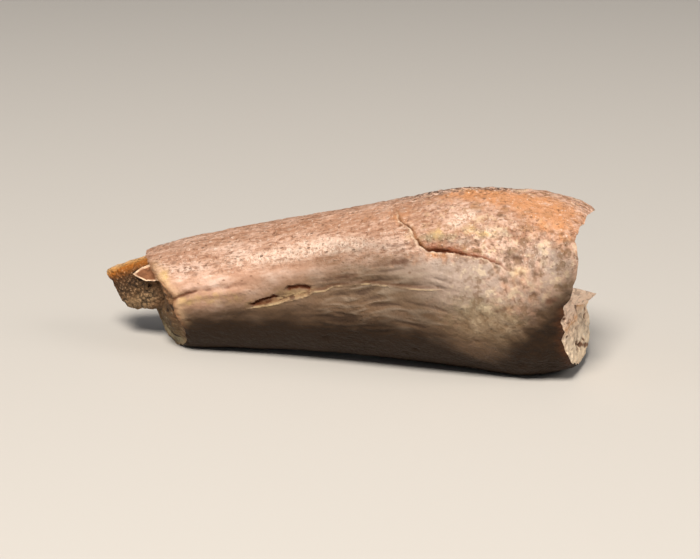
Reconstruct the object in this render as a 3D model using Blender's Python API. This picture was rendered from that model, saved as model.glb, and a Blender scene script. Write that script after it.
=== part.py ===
"""A broken dinosaur claw, turned to stone: one solid of fossil bone that lies on its underside.

The claw lies along X with its tip towards -X, its outer curve up and its rest plane at z = 0.
A place on its skin is given by x, in millimetres, and by a turn in degrees round the bone: 0 on the
crest, 90 on the flank towards -Y, 180 on the underside and 270 on the flank towards +Y.
"""

import bmesh
import bpy
import numpy as np
from mathutils import Matrix, Vector, noise

MM = 0.001

# Lengthwise profile, in mm: how high the crest and the underside run, and how far each flank stands out.
CREST = [(-45, 11.7), (-34, 15.4), (-27.5, 17.5), (-15, 20.7), (0, 24.25), (10, 26.6), (19.5, 28.5),
         (28, 28.8), (34, 28.0), (41, 25.7)]
UNDERSIDE = [(-45, 0.4), (-34, -0.15), (-28, -0.35), (-15, 0.2), (0, 0.55), (10, 0.3), (20, -0.25),
             (28, -0.6), (34.5, 0.5), (41, 2.9)]
NEAR_FLANK = [(-45, 5.6), (-34, 6.8), (-27, 7.6), (-10, 8.9), (5, 10.2), (20, 11.5), (31, 11.9), (41, 10.9)]
FAR_FLANK = [(-45, 5.0), (-34, 6.2), (-27, 7.0), (-10, 8.5), (5, 9.6), (20, 10.7), (31, 11.3), (41, 10.6)]
CREST_FULLNESS = 2.1  # superellipse exponents: 2 is an ellipse, more is squarer
UNDERSIDE_FULLNESS = 2.0

# Where the skin breaks off at each end, as (turn, x).
TIP_BREAK = [(0, -33.4), (25, -32.3), (44, -31.0), (54, -30.2), (66, -28.7), (78, -27.0), (84, -26.7),
             (96, -26.5), (107, -25.9), (120, -25.2), (143, -25.5), (165, -27.6), (185, -29.3),
             (205, -31.3), (230, -33.0), (255, -34.6), (285, -34.9), (315, -34.2), (340, -33.3),
             (360, -33.4)]
BASE_BREAK = [(0, 38.7), (12, 38.1), (23, 37.7), (36, 37.0), (44, 36.7), (52, 37.2), (61, 37.5),
              (70, 37.3), (79, 36.9), (86, 36.4), (90, 35.6), (96, 35.7), (103, 35.2), (112, 35.8),
              (120, 35.3), (132, 36.2), (150, 37.0), (170, 37.6), (190, 38.2), (210, 38.6),
              (230, 38.2), (240, 37.0), (248, 35.2), (256, 33.2), (270, 32.6), (290, 31.9),
              (305, 32.2), (320, 33.1), (335, 35.4), (349, 38.0), (356, 38.9), (360, 38.7)]

# Swells (+) and hollows (-): x, turn, reach along x, reach in degrees, height.
SWELLS = [
    (-13, 128, 14, 26, -0.55),  # the near flank tucks in below the groove
    (-19, 232, 12, 26, -0.5),  # and so does the far one
    (21, 84, 9, 16, 0.35),  # the flare below the long crack
    (13, 262, 12, 22, 0.4),
    (34, 112, 5, 20, -0.9),  # hollows beside the broken base
    (31, 300, 7, 20, -0.6),
    (30, 150, 7, 22, 0.35),  # root of the tendon knob
    (18, 8, 5, 12, 0.3),  # a patch of crust on the crest
    (26, 352, 3, 12, -0.25),
]

# Creases, as (x, turn) points with a width and a depth in mm. The channel has a raised lip below it.
NEAR_TIP_GROOVE = [(-28.6, 88), (-26.2, 82.5), (-24.5, 78.5), (-18, 75.5), (-13.3, 74)]
NEAR_CHANNEL = [(-15.8, 94), (-11.3, 89), (-8.5, 83), (-7.3, 79.7), (-6.2, 78.7), (-4.9, 80.2),
                (-2.3, 80.5), (-0.3, 78), (4.2, 77), (8.1, 79.5), (13.3, 83.5), (17.8, 84)]
LONG_CRACK = [(6.6, 352), (8.4, 376.5), (9.6, 392.5), (11.4, 399.5), (12.3, 408), (12.9, 412.5),
              (13.9, 416.5), (14.8, 418.5), (18.7, 421), (23.4, 424), (24.6, 425.5), (26.8, 430),
              (29.7, 432)]
LOWER_SLOT = [(-14.5, 93.6), (-12.2, 89.2), (-9.9, 86.2), (-8.6, 85.2)]
UPPER_SLOT = [(-8.4, 82.8), (-7.0, 79.8), (-5.9, 79), (-5.1, 79.8), (-4.3, 82)]
FAR_GROOVE = [(-36, 281), (-24, 279), (-12, 275), (-3, 277), (6, 273), (15, 276), (20, 272)]
FAR_CRACK = [(6.6, 352), (5.4, 340), (6.8, 331), (4.4, 322), (3.6, 311), (5.4, 301)]
CREASES = [
    (LOWER_SLOT, 1.1, 0.8),
    (UPPER_SLOT, 1.1, 0.8),
    (NEAR_TIP_GROOVE, 1.2, 0.55),
    (LONG_CRACK, 0.9, 0.5),
    (FAR_GROOVE, 1.5, 0.6),
    (FAR_CRACK, 0.8, 0.4),
]
CHANNEL_WIDTH, CHANNEL_DEPTH, CHANNEL_LIP = 1.6, 0.8, 0.25

# The faces of the two breaks. Each plane is its x at y = z = 0, with its slopes along y and z.
TIP_PLANE = (-28.3, -0.55, -0.34)
TIP_HOLE = (-1.6, 8.6, 1.9, 1.8)  # y, z, radius and depth of the hollow beside the tongue
TIP_SWELL = (-2.8, 5.4, 3.2, -1.5)  # and of the swelling in front of the tongue's foot
BASE_DENT = (2.4, 9.8, 2.8, -0.9)  # the face is dented in under the spur
BASE_LOW_PLANE = (37.3, 0.12, -0.02)  # the lower half of the base break stands out
BASE_HIGH_PLANE = (33.7, -0.08, 0.0)  # its upper half is broken back, behind a thin wall
LEDGE_HEIGHT, LEDGE_FALL, LEDGE_BLUR = 12.9, 0.42, 0.3  # the step between them falls with y
RIM = 0.14  # thickness of the dense outer bone, as a share of the radius
BREAK_LUMP, BREAK_LUMP_SIZE = 0.45, 2.6

# The tongue of inner bone left standing at the tip: x, top, bottom, near side and far side, in mm.
TONGUE = [(-29.0, 15.1, 6.0, -1.8, 5.0), (-33.5, 13.8, 5.4, -1.3, 5.2), (-36.3, 12.8, 5.3, -0.6, 4.8),
          (-37.7, 12.3, 6.1, -0.2, 4.4), (-39.1, 11.8, 8.2, 0.5, 3.8), (-40.2, 11.4, 9.6, 1.1, 3.3),
          (-40.8, 11.1, 10.2, 1.7, 3.0)]
TONGUE_FULLNESS = 5.0
TONGUE_SIDES = 20

# Splinters that stand out of the breaks, each between two outlines of (x, y, z) corners.
SHARD = ([(-30.6, -2.7, 14.4), (-33.8, -2.3, 13.0), (-35.1, -1.9, 11.9), (-34.0, -2.1, 11.3),
          (-32.7, -2.5, 11.0), (-30.6, -2.6, 11.3)],
         [(-30.6, 1.0, 14.1), (-33.8, 1.0, 12.8), (-34.9, 1.0, 11.9), (-34.0, 1.0, 11.4),
          (-32.7, 1.0, 11.2), (-30.6, 1.0, 11.5)])
SPUR = ([(34.0, -10.0, 17.0), (37.2, -6.6, 15.7), (39.8, -0.6, 13.1), (37.4, 2.0, 12.1), (34.0, 3.0, 11.6)],
        [(34.0, -9.4, 14.2), (36.4, -6.0, 12.8), (38.0, -1.2, 11.4), (36.6, 1.4, 10.6), (34.0, 2.6, 10.0)])

# How finely the skin is divided: (from, to, steps).
COLUMNS = [(0, 60, 12), (60, 112, 15), (112, 250, 17), (250, 300, 11), (300, 360, 11)]
RINGS = [(0.0, 0.04, 2), (0.04, 0.48, 21), (0.48, 0.72, 20), (0.72, 0.97, 12), (0.97, 1.0, 2)]
BREAK_RINGS = (0.97, 0.89, 0.82, 0.66, 0.46, 0.24)
LUMP, LUMP_SIZE = 0.16, 5.0

ORIGIN = (-0.5, -0.44)  # the point of the rest plane that becomes the origin, in mm
BONE_COLOUR = (0.60, 0.39, 0.26, 1.0)
BONE_ROUGHNESS = 0.7
SMOOTH_UNDER = np.radians(38)


def smooth_curve(at, points):
    """A smooth curve through (x, value) points, read at every x of the array at."""
    xs, vs = np.array(points, float).T
    slopes = np.gradient(vs, xs)
    i = np.clip(np.searchsorted(xs, at) - 1, 0, len(xs) - 2)
    step = xs[i + 1] - xs[i]
    t = np.clip((at - xs[i]) / step, 0, 1)
    start = (1 + 2 * t) * (1 - t) ** 2 * vs[i] + t * (1 - t) ** 2 * step * slopes[i]
    end = t**2 * (3 - 2 * t) * vs[i + 1] - t**2 * (1 - t) * step * slopes[i + 1]
    return start + end


def polygon_curve(at, points):
    """Straight runs between (position, value) points."""
    xs, vs = np.array(points, float).T
    return np.interp(at, xs, vs)


def steps_of(spans):
    """Every step of a list of (from, to, steps) spans, without the last end."""
    return np.concatenate([np.linspace(a, b, n, endpoint=False) for a, b, n in spans])


def step_at(value, edge, blur):
    """0 well below the edge, 1 well above it."""
    return 0.5 + 0.5 * np.tanh((value - edge) / blur)


def lumps(points, size, seed):
    """Smooth noise from -1 to 1 at each point of an (..., 3) array."""
    flat = points.reshape(-1, 3) / size + seed * 17.3
    return np.array([noise.noise(Vector(p)) for p in flat]).reshape(points.shape[:-1])


def bone_section(x, turn):
    """(y, z) of the bare skin, before its relief."""
    top, bottom = smooth_curve(x, CREST), smooth_curve(x, UNDERSIDE)
    middle, half_height = (top + bottom) / 2, (top - bottom) / 2
    sine, cosine = np.sin(np.radians(turn)), np.cos(np.radians(turn))
    half_width = np.where(sine > 0, smooth_curve(x, NEAR_FLANK), smooth_curve(x, FAR_FLANK))
    power = 2 / np.where(cosine > 0, CREST_FULLNESS, UNDERSIDE_FULLNESS)
    y = -half_width * np.sign(sine) * np.abs(sine) ** power
    return y, middle + half_height * np.sign(cosine) * np.abs(cosine) ** power


def bone_radius(x):
    """Mean radius of the section, which turns degrees into millimetres."""
    return (smooth_curve(x, CREST) - smooth_curve(x, UNDERSIDE)) / 4 + smooth_curve(x, NEAR_FLANK) / 2


def off_path(x, turn, path):
    """Distance in mm from a path of (x, turn) points, above it positive, and the share along it."""
    radius = bone_radius(x) * np.radians(1)
    best = np.full(x.shape, 1e9)
    signed, share = best.copy(), np.zeros(x.shape)
    for i, (start, end) in enumerate(zip(path, path[1:])):
        along_x, along_turn = end[0] - start[0], (end[1] - start[1]) * radius
        away_x = x - start[0]
        away_turn = ((turn - start[1] + 180) % 360 - 180) * radius
        t = np.clip((away_x * along_x + away_turn * along_turn) / (along_x**2 + along_turn**2), 0, 1)
        gap = np.hypot(away_x - t * along_x, away_turn - t * along_turn)
        side = np.sign(away_turn * along_x - away_x * along_turn)
        nearer = gap < best
        best = np.where(nearer, gap, best)
        signed = np.where(nearer, -side * gap, signed)
        share = np.where(nearer, (i + t) / (len(path) - 1), share)
    return signed, share


def fade(share):
    """1 along the middle of a path, 0 at its ends."""
    return np.clip(np.minimum(share, 1 - share) * 8, 0, 1)


def relief(x, turn):
    """Height of the skin over its bare section, in mm."""
    height = np.zeros(x.shape)
    for at_x, at_turn, reach_x, reach_turn, amount in SWELLS:
        away = (turn - at_turn + 180) % 360 - 180
        height += amount * np.exp(-(((x - at_x) / reach_x) ** 2) - (away / reach_turn) ** 2)
    for path, width, depth in CREASES:
        signed, share = off_path(x, turn, path)
        height -= depth * np.clip(1 - np.abs(signed) / width, 0, 1) * fade(share)
    signed, share = off_path(x, turn, NEAR_CHANNEL)
    below = np.clip(-signed / CHANNEL_WIDTH, 0, None)
    floor = np.where(signed < 0, np.clip(1 - below, 0, 1), np.clip(1 - signed / 0.4, 0, 1))
    height -= CHANNEL_DEPTH * floor * fade(share)
    height += CHANNEL_LIP * np.exp(-(((below - 1.1) / 0.35) ** 2)) * fade(share)
    return height


def skin(x, turn):
    """Points of the outer surface, in mm, worn flat where it stands on the rest plane."""
    y, z = bone_section(x, turn)
    middle = (smooth_curve(x, CREST) + smooth_curve(x, UNDERSIDE)) / 2
    outward = np.hypot(y, z - middle)
    points = np.stack([x, y, z], axis=-1)
    scale = 1 + (relief(x, turn) + LUMP * lumps(points, LUMP_SIZE, 1)) / outward
    return np.stack([x, y * scale, np.maximum(middle + (z - middle) * scale, 0)], axis=-1)


def plane_x(plane, y, z):
    """x of a sloping plane."""
    at_zero, along_y, along_z = plane
    return at_zero + along_y * y + along_z * z


def dimple(y, z, shape):
    """Depth of a round hollow in a break, or of a swelling where it is negative."""
    at_y, at_z, radius, depth = shape
    return depth * np.exp(-(((y - at_y) / radius) ** 2) - ((z - at_z) / radius) ** 2)


def tip_face(y, z):
    """x of the slanting break at the tip."""
    return plane_x(TIP_PLANE, y, z) + dimple(y, z, TIP_HOLE) + dimple(y, z, TIP_SWELL)


def base_face(y, z):
    """x of the stepped break at the base."""
    above = step_at(z + LEDGE_FALL * y, LEDGE_HEIGHT, LEDGE_BLUR)
    stepped = plane_x(BASE_LOW_PLANE, y, z) * (1 - above) + plane_x(BASE_HIGH_PLANE, y, z) * above
    return stepped + dimple(y, z, BASE_DENT)


def break_face(edge, face, seed):
    """Rings of points from the broken edge of the skin to the middle of the break."""
    centre = edge.mean(axis=0)
    rings = []
    for share in (*BREAK_RINGS, 0):
        ring = centre + (edge - centre) * share
        rim = np.clip((share - (1 - RIM)) / RIM, 0, 1)
        inner = face(ring[:, 1], ring[:, 2]) + BREAK_LUMP * lumps(ring, BREAK_LUMP_SIZE, seed)
        ring[:, 0] = inner + (edge[:, 0] - inner) * rim**0.5
        rings.append(ring)
    return rings[:-1], rings[-1].mean(axis=0)


def closed_mesh(name, rings, first_centre, last_centre):
    """One closed mesh from rings of points, capped with a fan at each end."""
    build = bmesh.new()
    rows = [[build.verts.new(Vector(p) * MM) for p in ring] for ring in rings]
    for lower, upper in zip(rows, rows[1:]):
        for i in range(len(lower)):
            build.faces.new((lower[i - 1], lower[i], upper[i], upper[i - 1]))
    for row, centre in ((rows[0], first_centre), (rows[-1], last_centre)):
        hub = build.verts.new(Vector(centre) * MM)
        for i in range(len(row)):
            build.faces.new((row[i - 1], row[i], hub))
    bmesh.ops.recalc_face_normals(build, faces=build.faces)
    mesh = bpy.data.meshes.new(name)
    build.to_mesh(mesh)
    build.free()
    return mesh


def claw_body():
    """The claw from break to break."""
    turn = steps_of(COLUMNS)
    share = np.append(steps_of(RINGS), 1.0)[:, None]
    tip, base = polygon_curve(turn, TIP_BREAK), polygon_curve(turn, BASE_BREAK)
    x = tip * (1 - share) + base * share
    rings = skin(x, np.broadcast_to(turn, x.shape))
    tip_rings, tip_hub = break_face(rings[0], tip_face, 2)
    base_rings, base_hub = break_face(rings[-1], base_face, 3)
    return closed_mesh("claw", [*tip_rings[::-1], *rings, *base_rings], tip_hub, base_hub)


def tongue_body():
    """The wedge of inner bone that stands out of the tip break."""
    angle = np.linspace(0, 2 * np.pi, TONGUE_SIDES, endpoint=False)
    power = 2 / TONGUE_FULLNESS
    across = -np.sign(np.sin(angle)) * np.abs(np.sin(angle)) ** power
    up = np.sign(np.cos(angle)) * np.abs(np.cos(angle)) ** power
    rings = []
    for x, top, bottom, near, far in TONGUE:
        y = (near + far) / 2 + across * (far - near) / 2
        z = (top + bottom) / 2 + up * (top - bottom) / 2
        ring = np.stack([np.full(y.shape, x), y, z], axis=-1)
        ring[:, 1] += BREAK_LUMP * lumps(ring, BREAK_LUMP_SIZE, 4)
        rings.append(ring)
    return closed_mesh("tongue", rings, rings[0].mean(axis=0), rings[-1].mean(axis=0))


def splinter_body(name, outlines):
    """An angular splinter of bone between two outlines."""
    first, last = (np.array(outline, float) for outline in outlines)
    return closed_mesh(name, [first, last], first.mean(axis=0), last.mean(axis=0))


def bone_material():
    """Fossil bone: a matt, warm stone."""
    material = bpy.data.materials.new("fossil_bone")
    material.use_nodes = True
    shader = material.node_tree.nodes["Principled BSDF"]
    shader.inputs["Base Color"].default_value = BONE_COLOUR
    shader.inputs["Roughness"].default_value = BONE_ROUGHNESS
    shader.inputs["Metallic"].default_value = 0.0
    return material


def placed(mesh):
    """An object for the mesh, moved so that the part's origin is under its middle."""
    thing = bpy.data.objects.new(mesh.name, mesh)
    bpy.context.scene.collection.objects.link(thing)
    mesh.transform(Matrix.Translation((-ORIGIN[0] * MM, -ORIGIN[1] * MM, 0)))
    return thing


def fused(whole, piece):
    """Joins a piece to the whole with a Boolean union, and hides the piece."""
    union = whole.modifiers.new(f"join_{piece.name}", "BOOLEAN")
    union.operation = "UNION"
    union.object = piece
    piece.hide_render = True
    piece.display_type = "WIRE"


for old in list(bpy.data.objects):
    bpy.data.objects.remove(old)

claw = placed(claw_body())
claw.data.materials.append(bone_material())
for splinter in (tongue_body(), splinter_body("shard", SHARD), splinter_body("spur", SPUR)):
    fused(claw, placed(splinter))
claw.data.shade_smooth()
claw.data.set_sharp_from_angle(angle=SMOOTH_UNDER)
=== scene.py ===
# %% [markdown]
# # A broken dinosaur claw, turned to stone
#
# The object is one piece of fossil bone about 80 mm long, a length out of the middle of a claw. Its
# plain solid comes first, as a fixed frame: the dressed claw made here lies exactly where that solid is,
# and hides it. The box of the plain solid is kept.

import bpy
import numpy as np
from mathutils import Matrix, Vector, kdtree, noise


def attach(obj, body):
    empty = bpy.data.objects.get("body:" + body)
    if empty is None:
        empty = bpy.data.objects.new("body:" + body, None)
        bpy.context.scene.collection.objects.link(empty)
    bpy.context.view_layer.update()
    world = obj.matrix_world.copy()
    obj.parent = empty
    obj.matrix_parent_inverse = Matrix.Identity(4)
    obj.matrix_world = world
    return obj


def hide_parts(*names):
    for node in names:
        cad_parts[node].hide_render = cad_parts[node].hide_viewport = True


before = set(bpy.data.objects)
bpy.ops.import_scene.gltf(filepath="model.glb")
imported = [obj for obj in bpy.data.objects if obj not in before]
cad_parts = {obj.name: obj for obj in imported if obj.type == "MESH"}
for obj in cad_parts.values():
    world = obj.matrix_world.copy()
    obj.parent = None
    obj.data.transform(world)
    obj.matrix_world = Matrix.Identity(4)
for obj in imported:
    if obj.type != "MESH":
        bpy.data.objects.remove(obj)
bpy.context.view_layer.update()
print("nodes in the frame:", sorted(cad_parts))

# %% [markdown]
# Everything about the claw is thought of in millimetres. A place on its skin is given by x, along the
# bone from the tip end to the base, and by a turn in degrees round it: 0 on the crest, 90 on the flank
# towards -Y, 180 on the underside and 270 on the flank towards +Y.

# %% Units and the origin
MM = 0.001
ORIGIN = (-0.5, -0.44)  # the point of the rest plane that the frame's origin stands for, in mm


def in_frame(points):
    """Points of the drawing, in mm, as points of the frame, in metres."""
    return (np.array(points, float) - (*ORIGIN, 0)) * MM


print("the drawing's zero lies at", in_frame((0, 0, 0)).tolist())

# %% [markdown]
# ## Camera, floor and light
#
# The claw is looked at from its flank, a little from the base side and 18 degrees from above, through a
# long lens, so that it is hardly foreshortened. It lies on a plain pale floor.

# %% The camera
LOOK_AT = Vector(in_frame((0.45, 0.35, 12.55)))
CAMERA_TURN, CAMERA_RISE = np.radians(11.5), np.radians(18)
CAMERA_DISTANCE = 300 * MM
LENS, SENSOR = 96.4, 36


def direction(turn, rise):
    """A unit vector that is turned from -Y towards +X, and raised, by angles in radians."""
    return Vector((np.sin(turn) * np.cos(rise), -np.cos(turn) * np.cos(rise), np.sin(rise)))


def aimed(thing, place, target):
    """Puts a camera or a light at a place and points it at the target."""
    thing.location = place
    thing.rotation_euler = (target - place).to_track_quat("-Z", "Y").to_euler()
    bpy.context.scene.collection.objects.link(thing)
    return thing


lens = bpy.data.cameras.new("camera")
lens.lens, lens.sensor_width = LENS, SENSOR
lens.clip_start, lens.clip_end = 0.01, 20
camera = bpy.data.objects.new("camera", lens)
aimed(camera, LOOK_AT + direction(CAMERA_TURN, CAMERA_RISE) * CAMERA_DISTANCE, LOOK_AT)
bpy.context.scene.camera = camera
print("camera at, in mm:", [round(1000 * v, 1) for v in camera.location])

# %% [markdown]
# Colours are written as sRGB hex values, the way a paint program shows them. Blender's shaders work in
# linear light, so one function turns a hex value into linear numbers.


# %% Colours
def colour(hex_value):
    """Linear RGBA of an sRGB hex value such as "#c08a5a"."""
    parts = [int(hex_value[i : i + 2], 16) / 255 for i in (1, 3, 5)]
    return (*((p / 12.92 if p <= 0.04045 else ((p + 0.055) / 1.055) ** 2.4) for p in parts), 1.0)


print("mid grey in linear light:", [round(c, 3) for c in colour("#808080")])

# %% [markdown]
# The floor is a matt sheet of pale studio paper. The key light is a large soft panel above and in front
# of the claw, on the camera's side: it rakes down the flank and leaves the underside dark. A weak panel
# at each end and a pale world keep the shadows open.

# %% Floor and light
FLOOR_HALF = 3.0
FLOOR_COLOUR = colour("#c8c6c3")
PAPER_ROUGHNESS = 0.9
PANEL_TARGET = Vector(in_frame((0, 0, 12)))
PANELS = {  # turn and rise in degrees, distance and side in metres, watts and tint
    "key_panel": (0, 53, 0.9, 0.3, 11.4, "#fff5e8"),
    "tip_side_panel": (-70, 30, 1.0, 0.5, 0.5, "#ffffff"),
    "base_side_panel": (82, 35, 1.0, 0.4, 1.9, "#fff5ea"),
}
WORLD_COLOUR, WORLD_STRENGTH = colour("#f4f4f6"), 0.15


def flat_sheet(name, half_width):
    """A square sheet at the height of the rest plane."""
    mesh = bpy.data.meshes.new(name)
    corners = [(-half_width, -half_width, 0), (half_width, -half_width, 0), (half_width, half_width, 0)]
    corners.append((-half_width, half_width, 0))
    mesh.from_pydata(corners, [], [(0, 1, 2, 3)])
    sheet = bpy.data.objects.new(name, mesh)
    bpy.context.scene.collection.objects.link(sheet)
    return sheet


def soft_panel(name, turn, rise, distance, side, watts, tint):
    """A square area light that faces the claw."""
    lamp = bpy.data.lights.new(name, "AREA")
    lamp.size, lamp.energy, lamp.color = side, watts, colour(tint)[:3]
    place = PANEL_TARGET + direction(np.radians(turn), np.radians(rise)) * distance
    return aimed(bpy.data.objects.new(name, lamp), place, PANEL_TARGET)


floor = flat_sheet("studio_floor", FLOOR_HALF)
paper = bpy.data.materials.new("pale studio paper")
paper.use_nodes = True
paper.node_tree.nodes["Principled BSDF"].inputs["Base Color"].default_value = FLOOR_COLOUR
paper.node_tree.nodes["Principled BSDF"].inputs["Roughness"].default_value = PAPER_ROUGHNESS
floor.data.materials.append(paper)

for name, settings in PANELS.items():
    soft_panel(name, *settings)

world = bpy.data.worlds.new("studio")
world.use_nodes = True
world.node_tree.nodes["Background"].inputs["Color"].default_value = WORLD_COLOUR
world.node_tree.nodes["Background"].inputs["Strength"].default_value = WORLD_STRENGTH
bpy.context.scene.world = world
bpy.context.scene.view_settings.view_transform = "Standard"

# %% [markdown]
# ## The form
#
# A claw's bone is a curved, tapering tube, oval in section. This length of it is described by four
# curves along x: how high the crest and the underside run, and how far each flank stands out. The oval
# itself is a superellipse, an ellipse whose exponent sets how full it is.

# %% Profile curves
CREST = [(-45, 11.7), (-34, 15.4), (-27.5, 17.5), (-15, 20.7), (0, 24.25), (10, 26.6), (19.5, 28.5),
         (28, 28.8), (34, 28.0), (41, 25.7)]
UNDERSIDE = [(-45, 0.4), (-34, -0.15), (-28, -0.35), (-15, 0.2), (0, 0.55), (10, 0.3), (20, -0.25),
             (28, -0.6), (34.5, 0.5), (41, 2.9)]
NEAR_FLANK = [(-45, 5.6), (-34, 6.8), (-27, 7.6), (-10, 8.9), (5, 10.2), (20, 11.5), (31, 11.9), (41, 10.9)]
FAR_FLANK = [(-45, 5.0), (-34, 6.2), (-27, 7.0), (-10, 8.5), (5, 9.6), (20, 10.7), (31, 11.3), (41, 10.6)]
CREST_FULLNESS, UNDERSIDE_FULLNESS = 2.1, 2.0


def smooth_curve(at, points):
    """A smooth curve through (x, value) points, read at every x of the array at."""
    xs, vs = np.array(points, float).T
    slopes = np.gradient(vs, xs)
    i = np.clip(np.searchsorted(xs, at) - 1, 0, len(xs) - 2)
    step = xs[i + 1] - xs[i]
    t = np.clip((at - xs[i]) / step, 0, 1)
    start = (1 + 2 * t) * (1 - t) ** 2 * vs[i] + t * (1 - t) ** 2 * step * slopes[i]
    end = t**2 * (3 - 2 * t) * vs[i + 1] - t**2 * (1 - t) * step * slopes[i + 1]
    return start + end


def section_shape(x):
    """Middle height, half height, and the near and far half widths of the oval at x."""
    top, bottom = smooth_curve(x, CREST), smooth_curve(x, UNDERSIDE)
    return (top + bottom) / 2, (top - bottom) / 2, smooth_curve(x, NEAR_FLANK), smooth_curve(x, FAR_FLANK)


def bone_section(x, turn):
    """(y, z) of the bare skin, before its relief."""
    middle, half_height, near, far = section_shape(x)
    sine, cosine = np.sin(np.radians(turn)), np.cos(np.radians(turn))
    power = 2 / np.where(cosine > 0, CREST_FULLNESS, UNDERSIDE_FULLNESS)
    y = -np.where(sine > 0, near, far) * np.sign(sine) * np.abs(sine) ** power
    return y, middle + half_height * np.sign(cosine) * np.abs(cosine) ** power


def turn_at(x, y, z):
    """The turn, in degrees, of any point of the claw: bone_section the other way round."""
    middle, half_height, near, far = section_shape(x)
    up = (z - middle) / half_height
    across = -y / np.where(y < 0, near, far)
    power = np.where(up > 0, CREST_FULLNESS, UNDERSIDE_FULLNESS) / 2
    return np.degrees(np.arctan2(np.sign(across) * np.abs(across) ** power,
                                 np.sign(up) * np.abs(up) ** power)) % 360


for x in (-30, 0, 30):
    y, z = bone_section(np.array([x, x]), np.array([90, 270]))
    print(f"at x = {x} mm the bone is {y[1] - y[0]:.1f} mm thick")

# %% [markdown]
# Both ends are broken. The skin stops along a jagged line, given as points of turn and x with straight
# runs between them, because bone that has turned to stone snaps in flat facets. A little noise along the
# line keeps the runs from looking ruled.

# %% Broken ends
TIP_BREAK = [(0, -33.4), (25, -32.3), (44, -31.0), (54, -30.2), (66, -28.7), (78, -27.0), (84, -26.7),
             (96, -26.5), (107, -25.9), (120, -25.2), (143, -25.5), (165, -27.6), (185, -29.3),
             (205, -31.3), (230, -33.0), (255, -34.6), (285, -34.9), (315, -34.2), (340, -33.3),
             (360, -33.4)]
BASE_BREAK = [(0, 38.7), (12, 38.1), (23, 37.7), (36, 37.0), (44, 36.7), (52, 37.2), (61, 37.5),
              (70, 37.3), (79, 36.9), (86, 36.4), (90, 35.6), (96, 35.7), (103, 35.2), (112, 35.8),
              (120, 35.3), (132, 36.2), (150, 37.0), (170, 37.6), (190, 38.2), (210, 38.6),
              (230, 38.2), (240, 37.0), (248, 35.2), (256, 33.2), (270, 32.6), (290, 31.9),
              (305, 32.2), (320, 33.1), (335, 35.4), (349, 38.0), (356, 38.9), (360, 38.7)]
EDGE_JITTER, EDGE_JITTER_TURN = 0.14, 5.0  # mm, and degrees from one bump to the next


def soft_noise(points, size, seed=0):
    """Smooth noise from -1 to 1 at each point of an (..., 3) array, with bumps of about this size."""
    flat = (points.reshape(-1, 3) / size + 17.3 * seed).tolist()
    return np.array([noise.noise(p) for p in flat]).reshape(points.shape[:-1])


def layered_noise(points, size, seed=0, layers=3):
    """Soft noise with finer and weaker layers on top."""
    return sum(soft_noise(points, size / 2**i, seed + i) / 2**i for i in range(layers))


def broken_edge(turn, corners, seed):
    """x of the broken edge of the skin at each turn."""
    turns, xs = np.array(corners, float).T
    angle = np.radians(turn)
    ring = np.stack([np.cos(angle), np.sin(angle), 0 * angle], axis=-1) / np.radians(EDGE_JITTER_TURN)
    return np.interp(turn, turns, xs) + EDGE_JITTER * layered_noise(ring, 1.0, seed)


print("edge jitter at turn 0:", round(float(broken_edge(np.array([0.0]), TIP_BREAK, 5)[0]), 2), "mm")

# %% [markdown]
# ## The relief of the skin
#
# The bare oval gets its character in layers, from large to small. Broad swells and hollows come first.
# Lines on the skin (grooves, cracks, the ledge of the channel) are paths of (x, turn) points, and one
# function gives every point of the skin its distance from a path, in mm.

# %% Swells and paths
SWELLS = [  # x, turn, reach along x, reach in degrees, height in mm
    (-13, 128, 14, 26, -0.55),
    (-19, 232, 12, 26, -0.5),
    (21, 84, 9, 16, 0.35),
    (13, 262, 12, 22, 0.4),
    (34, 112, 5, 20, -0.9),
    (31, 300, 7, 20, -0.6),
    (30, 150, 7, 22, 0.35),
    (18, 8, 5, 12, 0.3),
    (26, 352, 3, 12, -0.25),
]


def turn_from(turn, start):
    """Degrees from one turn to another, from -180 to 180."""
    return (turn - start + 180) % 360 - 180


def swells(x, turn):
    """Height of the broad swells and hollows, in mm."""
    height = np.zeros(x.shape)
    for at_x, at_turn, reach_x, reach_turn, amount in SWELLS:
        away = turn_from(turn, at_turn)
        height += amount * np.exp(-(((x - at_x) / reach_x) ** 2) - (away / reach_turn) ** 2)
    return height


def bone_radius(x):
    """Mean radius of the section, which turns degrees into millimetres."""
    middle, half_height, near, far = section_shape(x)
    return (half_height + near) / 2


def off_path(x, turn, path):
    """Distance in mm from a path of (x, turn) points, above it positive, and the share along it."""
    radius = bone_radius(x) * np.radians(1)
    best = np.full(x.shape, 1e9)
    signed, share = best.copy(), np.zeros(x.shape)
    for i, (start, end) in enumerate(zip(path, path[1:])):
        along_x, along_turn = end[0] - start[0], (end[1] - start[1]) * radius
        away_x = x - start[0]
        away_turn = turn_from(turn, start[1]) * radius
        t = np.clip((away_x * along_x + away_turn * along_turn) / (along_x**2 + along_turn**2), 0, 1)
        gap = np.hypot(away_x - t * along_x, away_turn - t * along_turn)
        side = np.sign(away_turn * along_x - away_x * along_turn)
        nearer = gap < best
        best = np.where(nearer, gap, best)
        signed = np.where(nearer, -side * gap, signed)
        share = np.where(nearer, (i + t) / (len(path) - 1), share)
    return signed, share


def bump(value, width):
    """1 at zero, falling smoothly to 0 a few widths away."""
    return np.exp(-((value / width) ** 2))


def between(value, low, high):
    """0 below low, 1 above high, and a smooth rise between them."""
    t = np.clip((value - low) / (high - low), 0, 1)
    return t * t * (3 - 2 * t)


def fade(share, run=0.12):
    """1 along the middle of a path, 0 at its ends."""
    return between(np.minimum(share, 1 - share), 0, run)


gap, share = off_path(np.array([3.0]), np.array([90.0]), [(0, 90), (9, 90)])
print("a point on a path, a third of the way along it:", gap, share.round(2))

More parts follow.
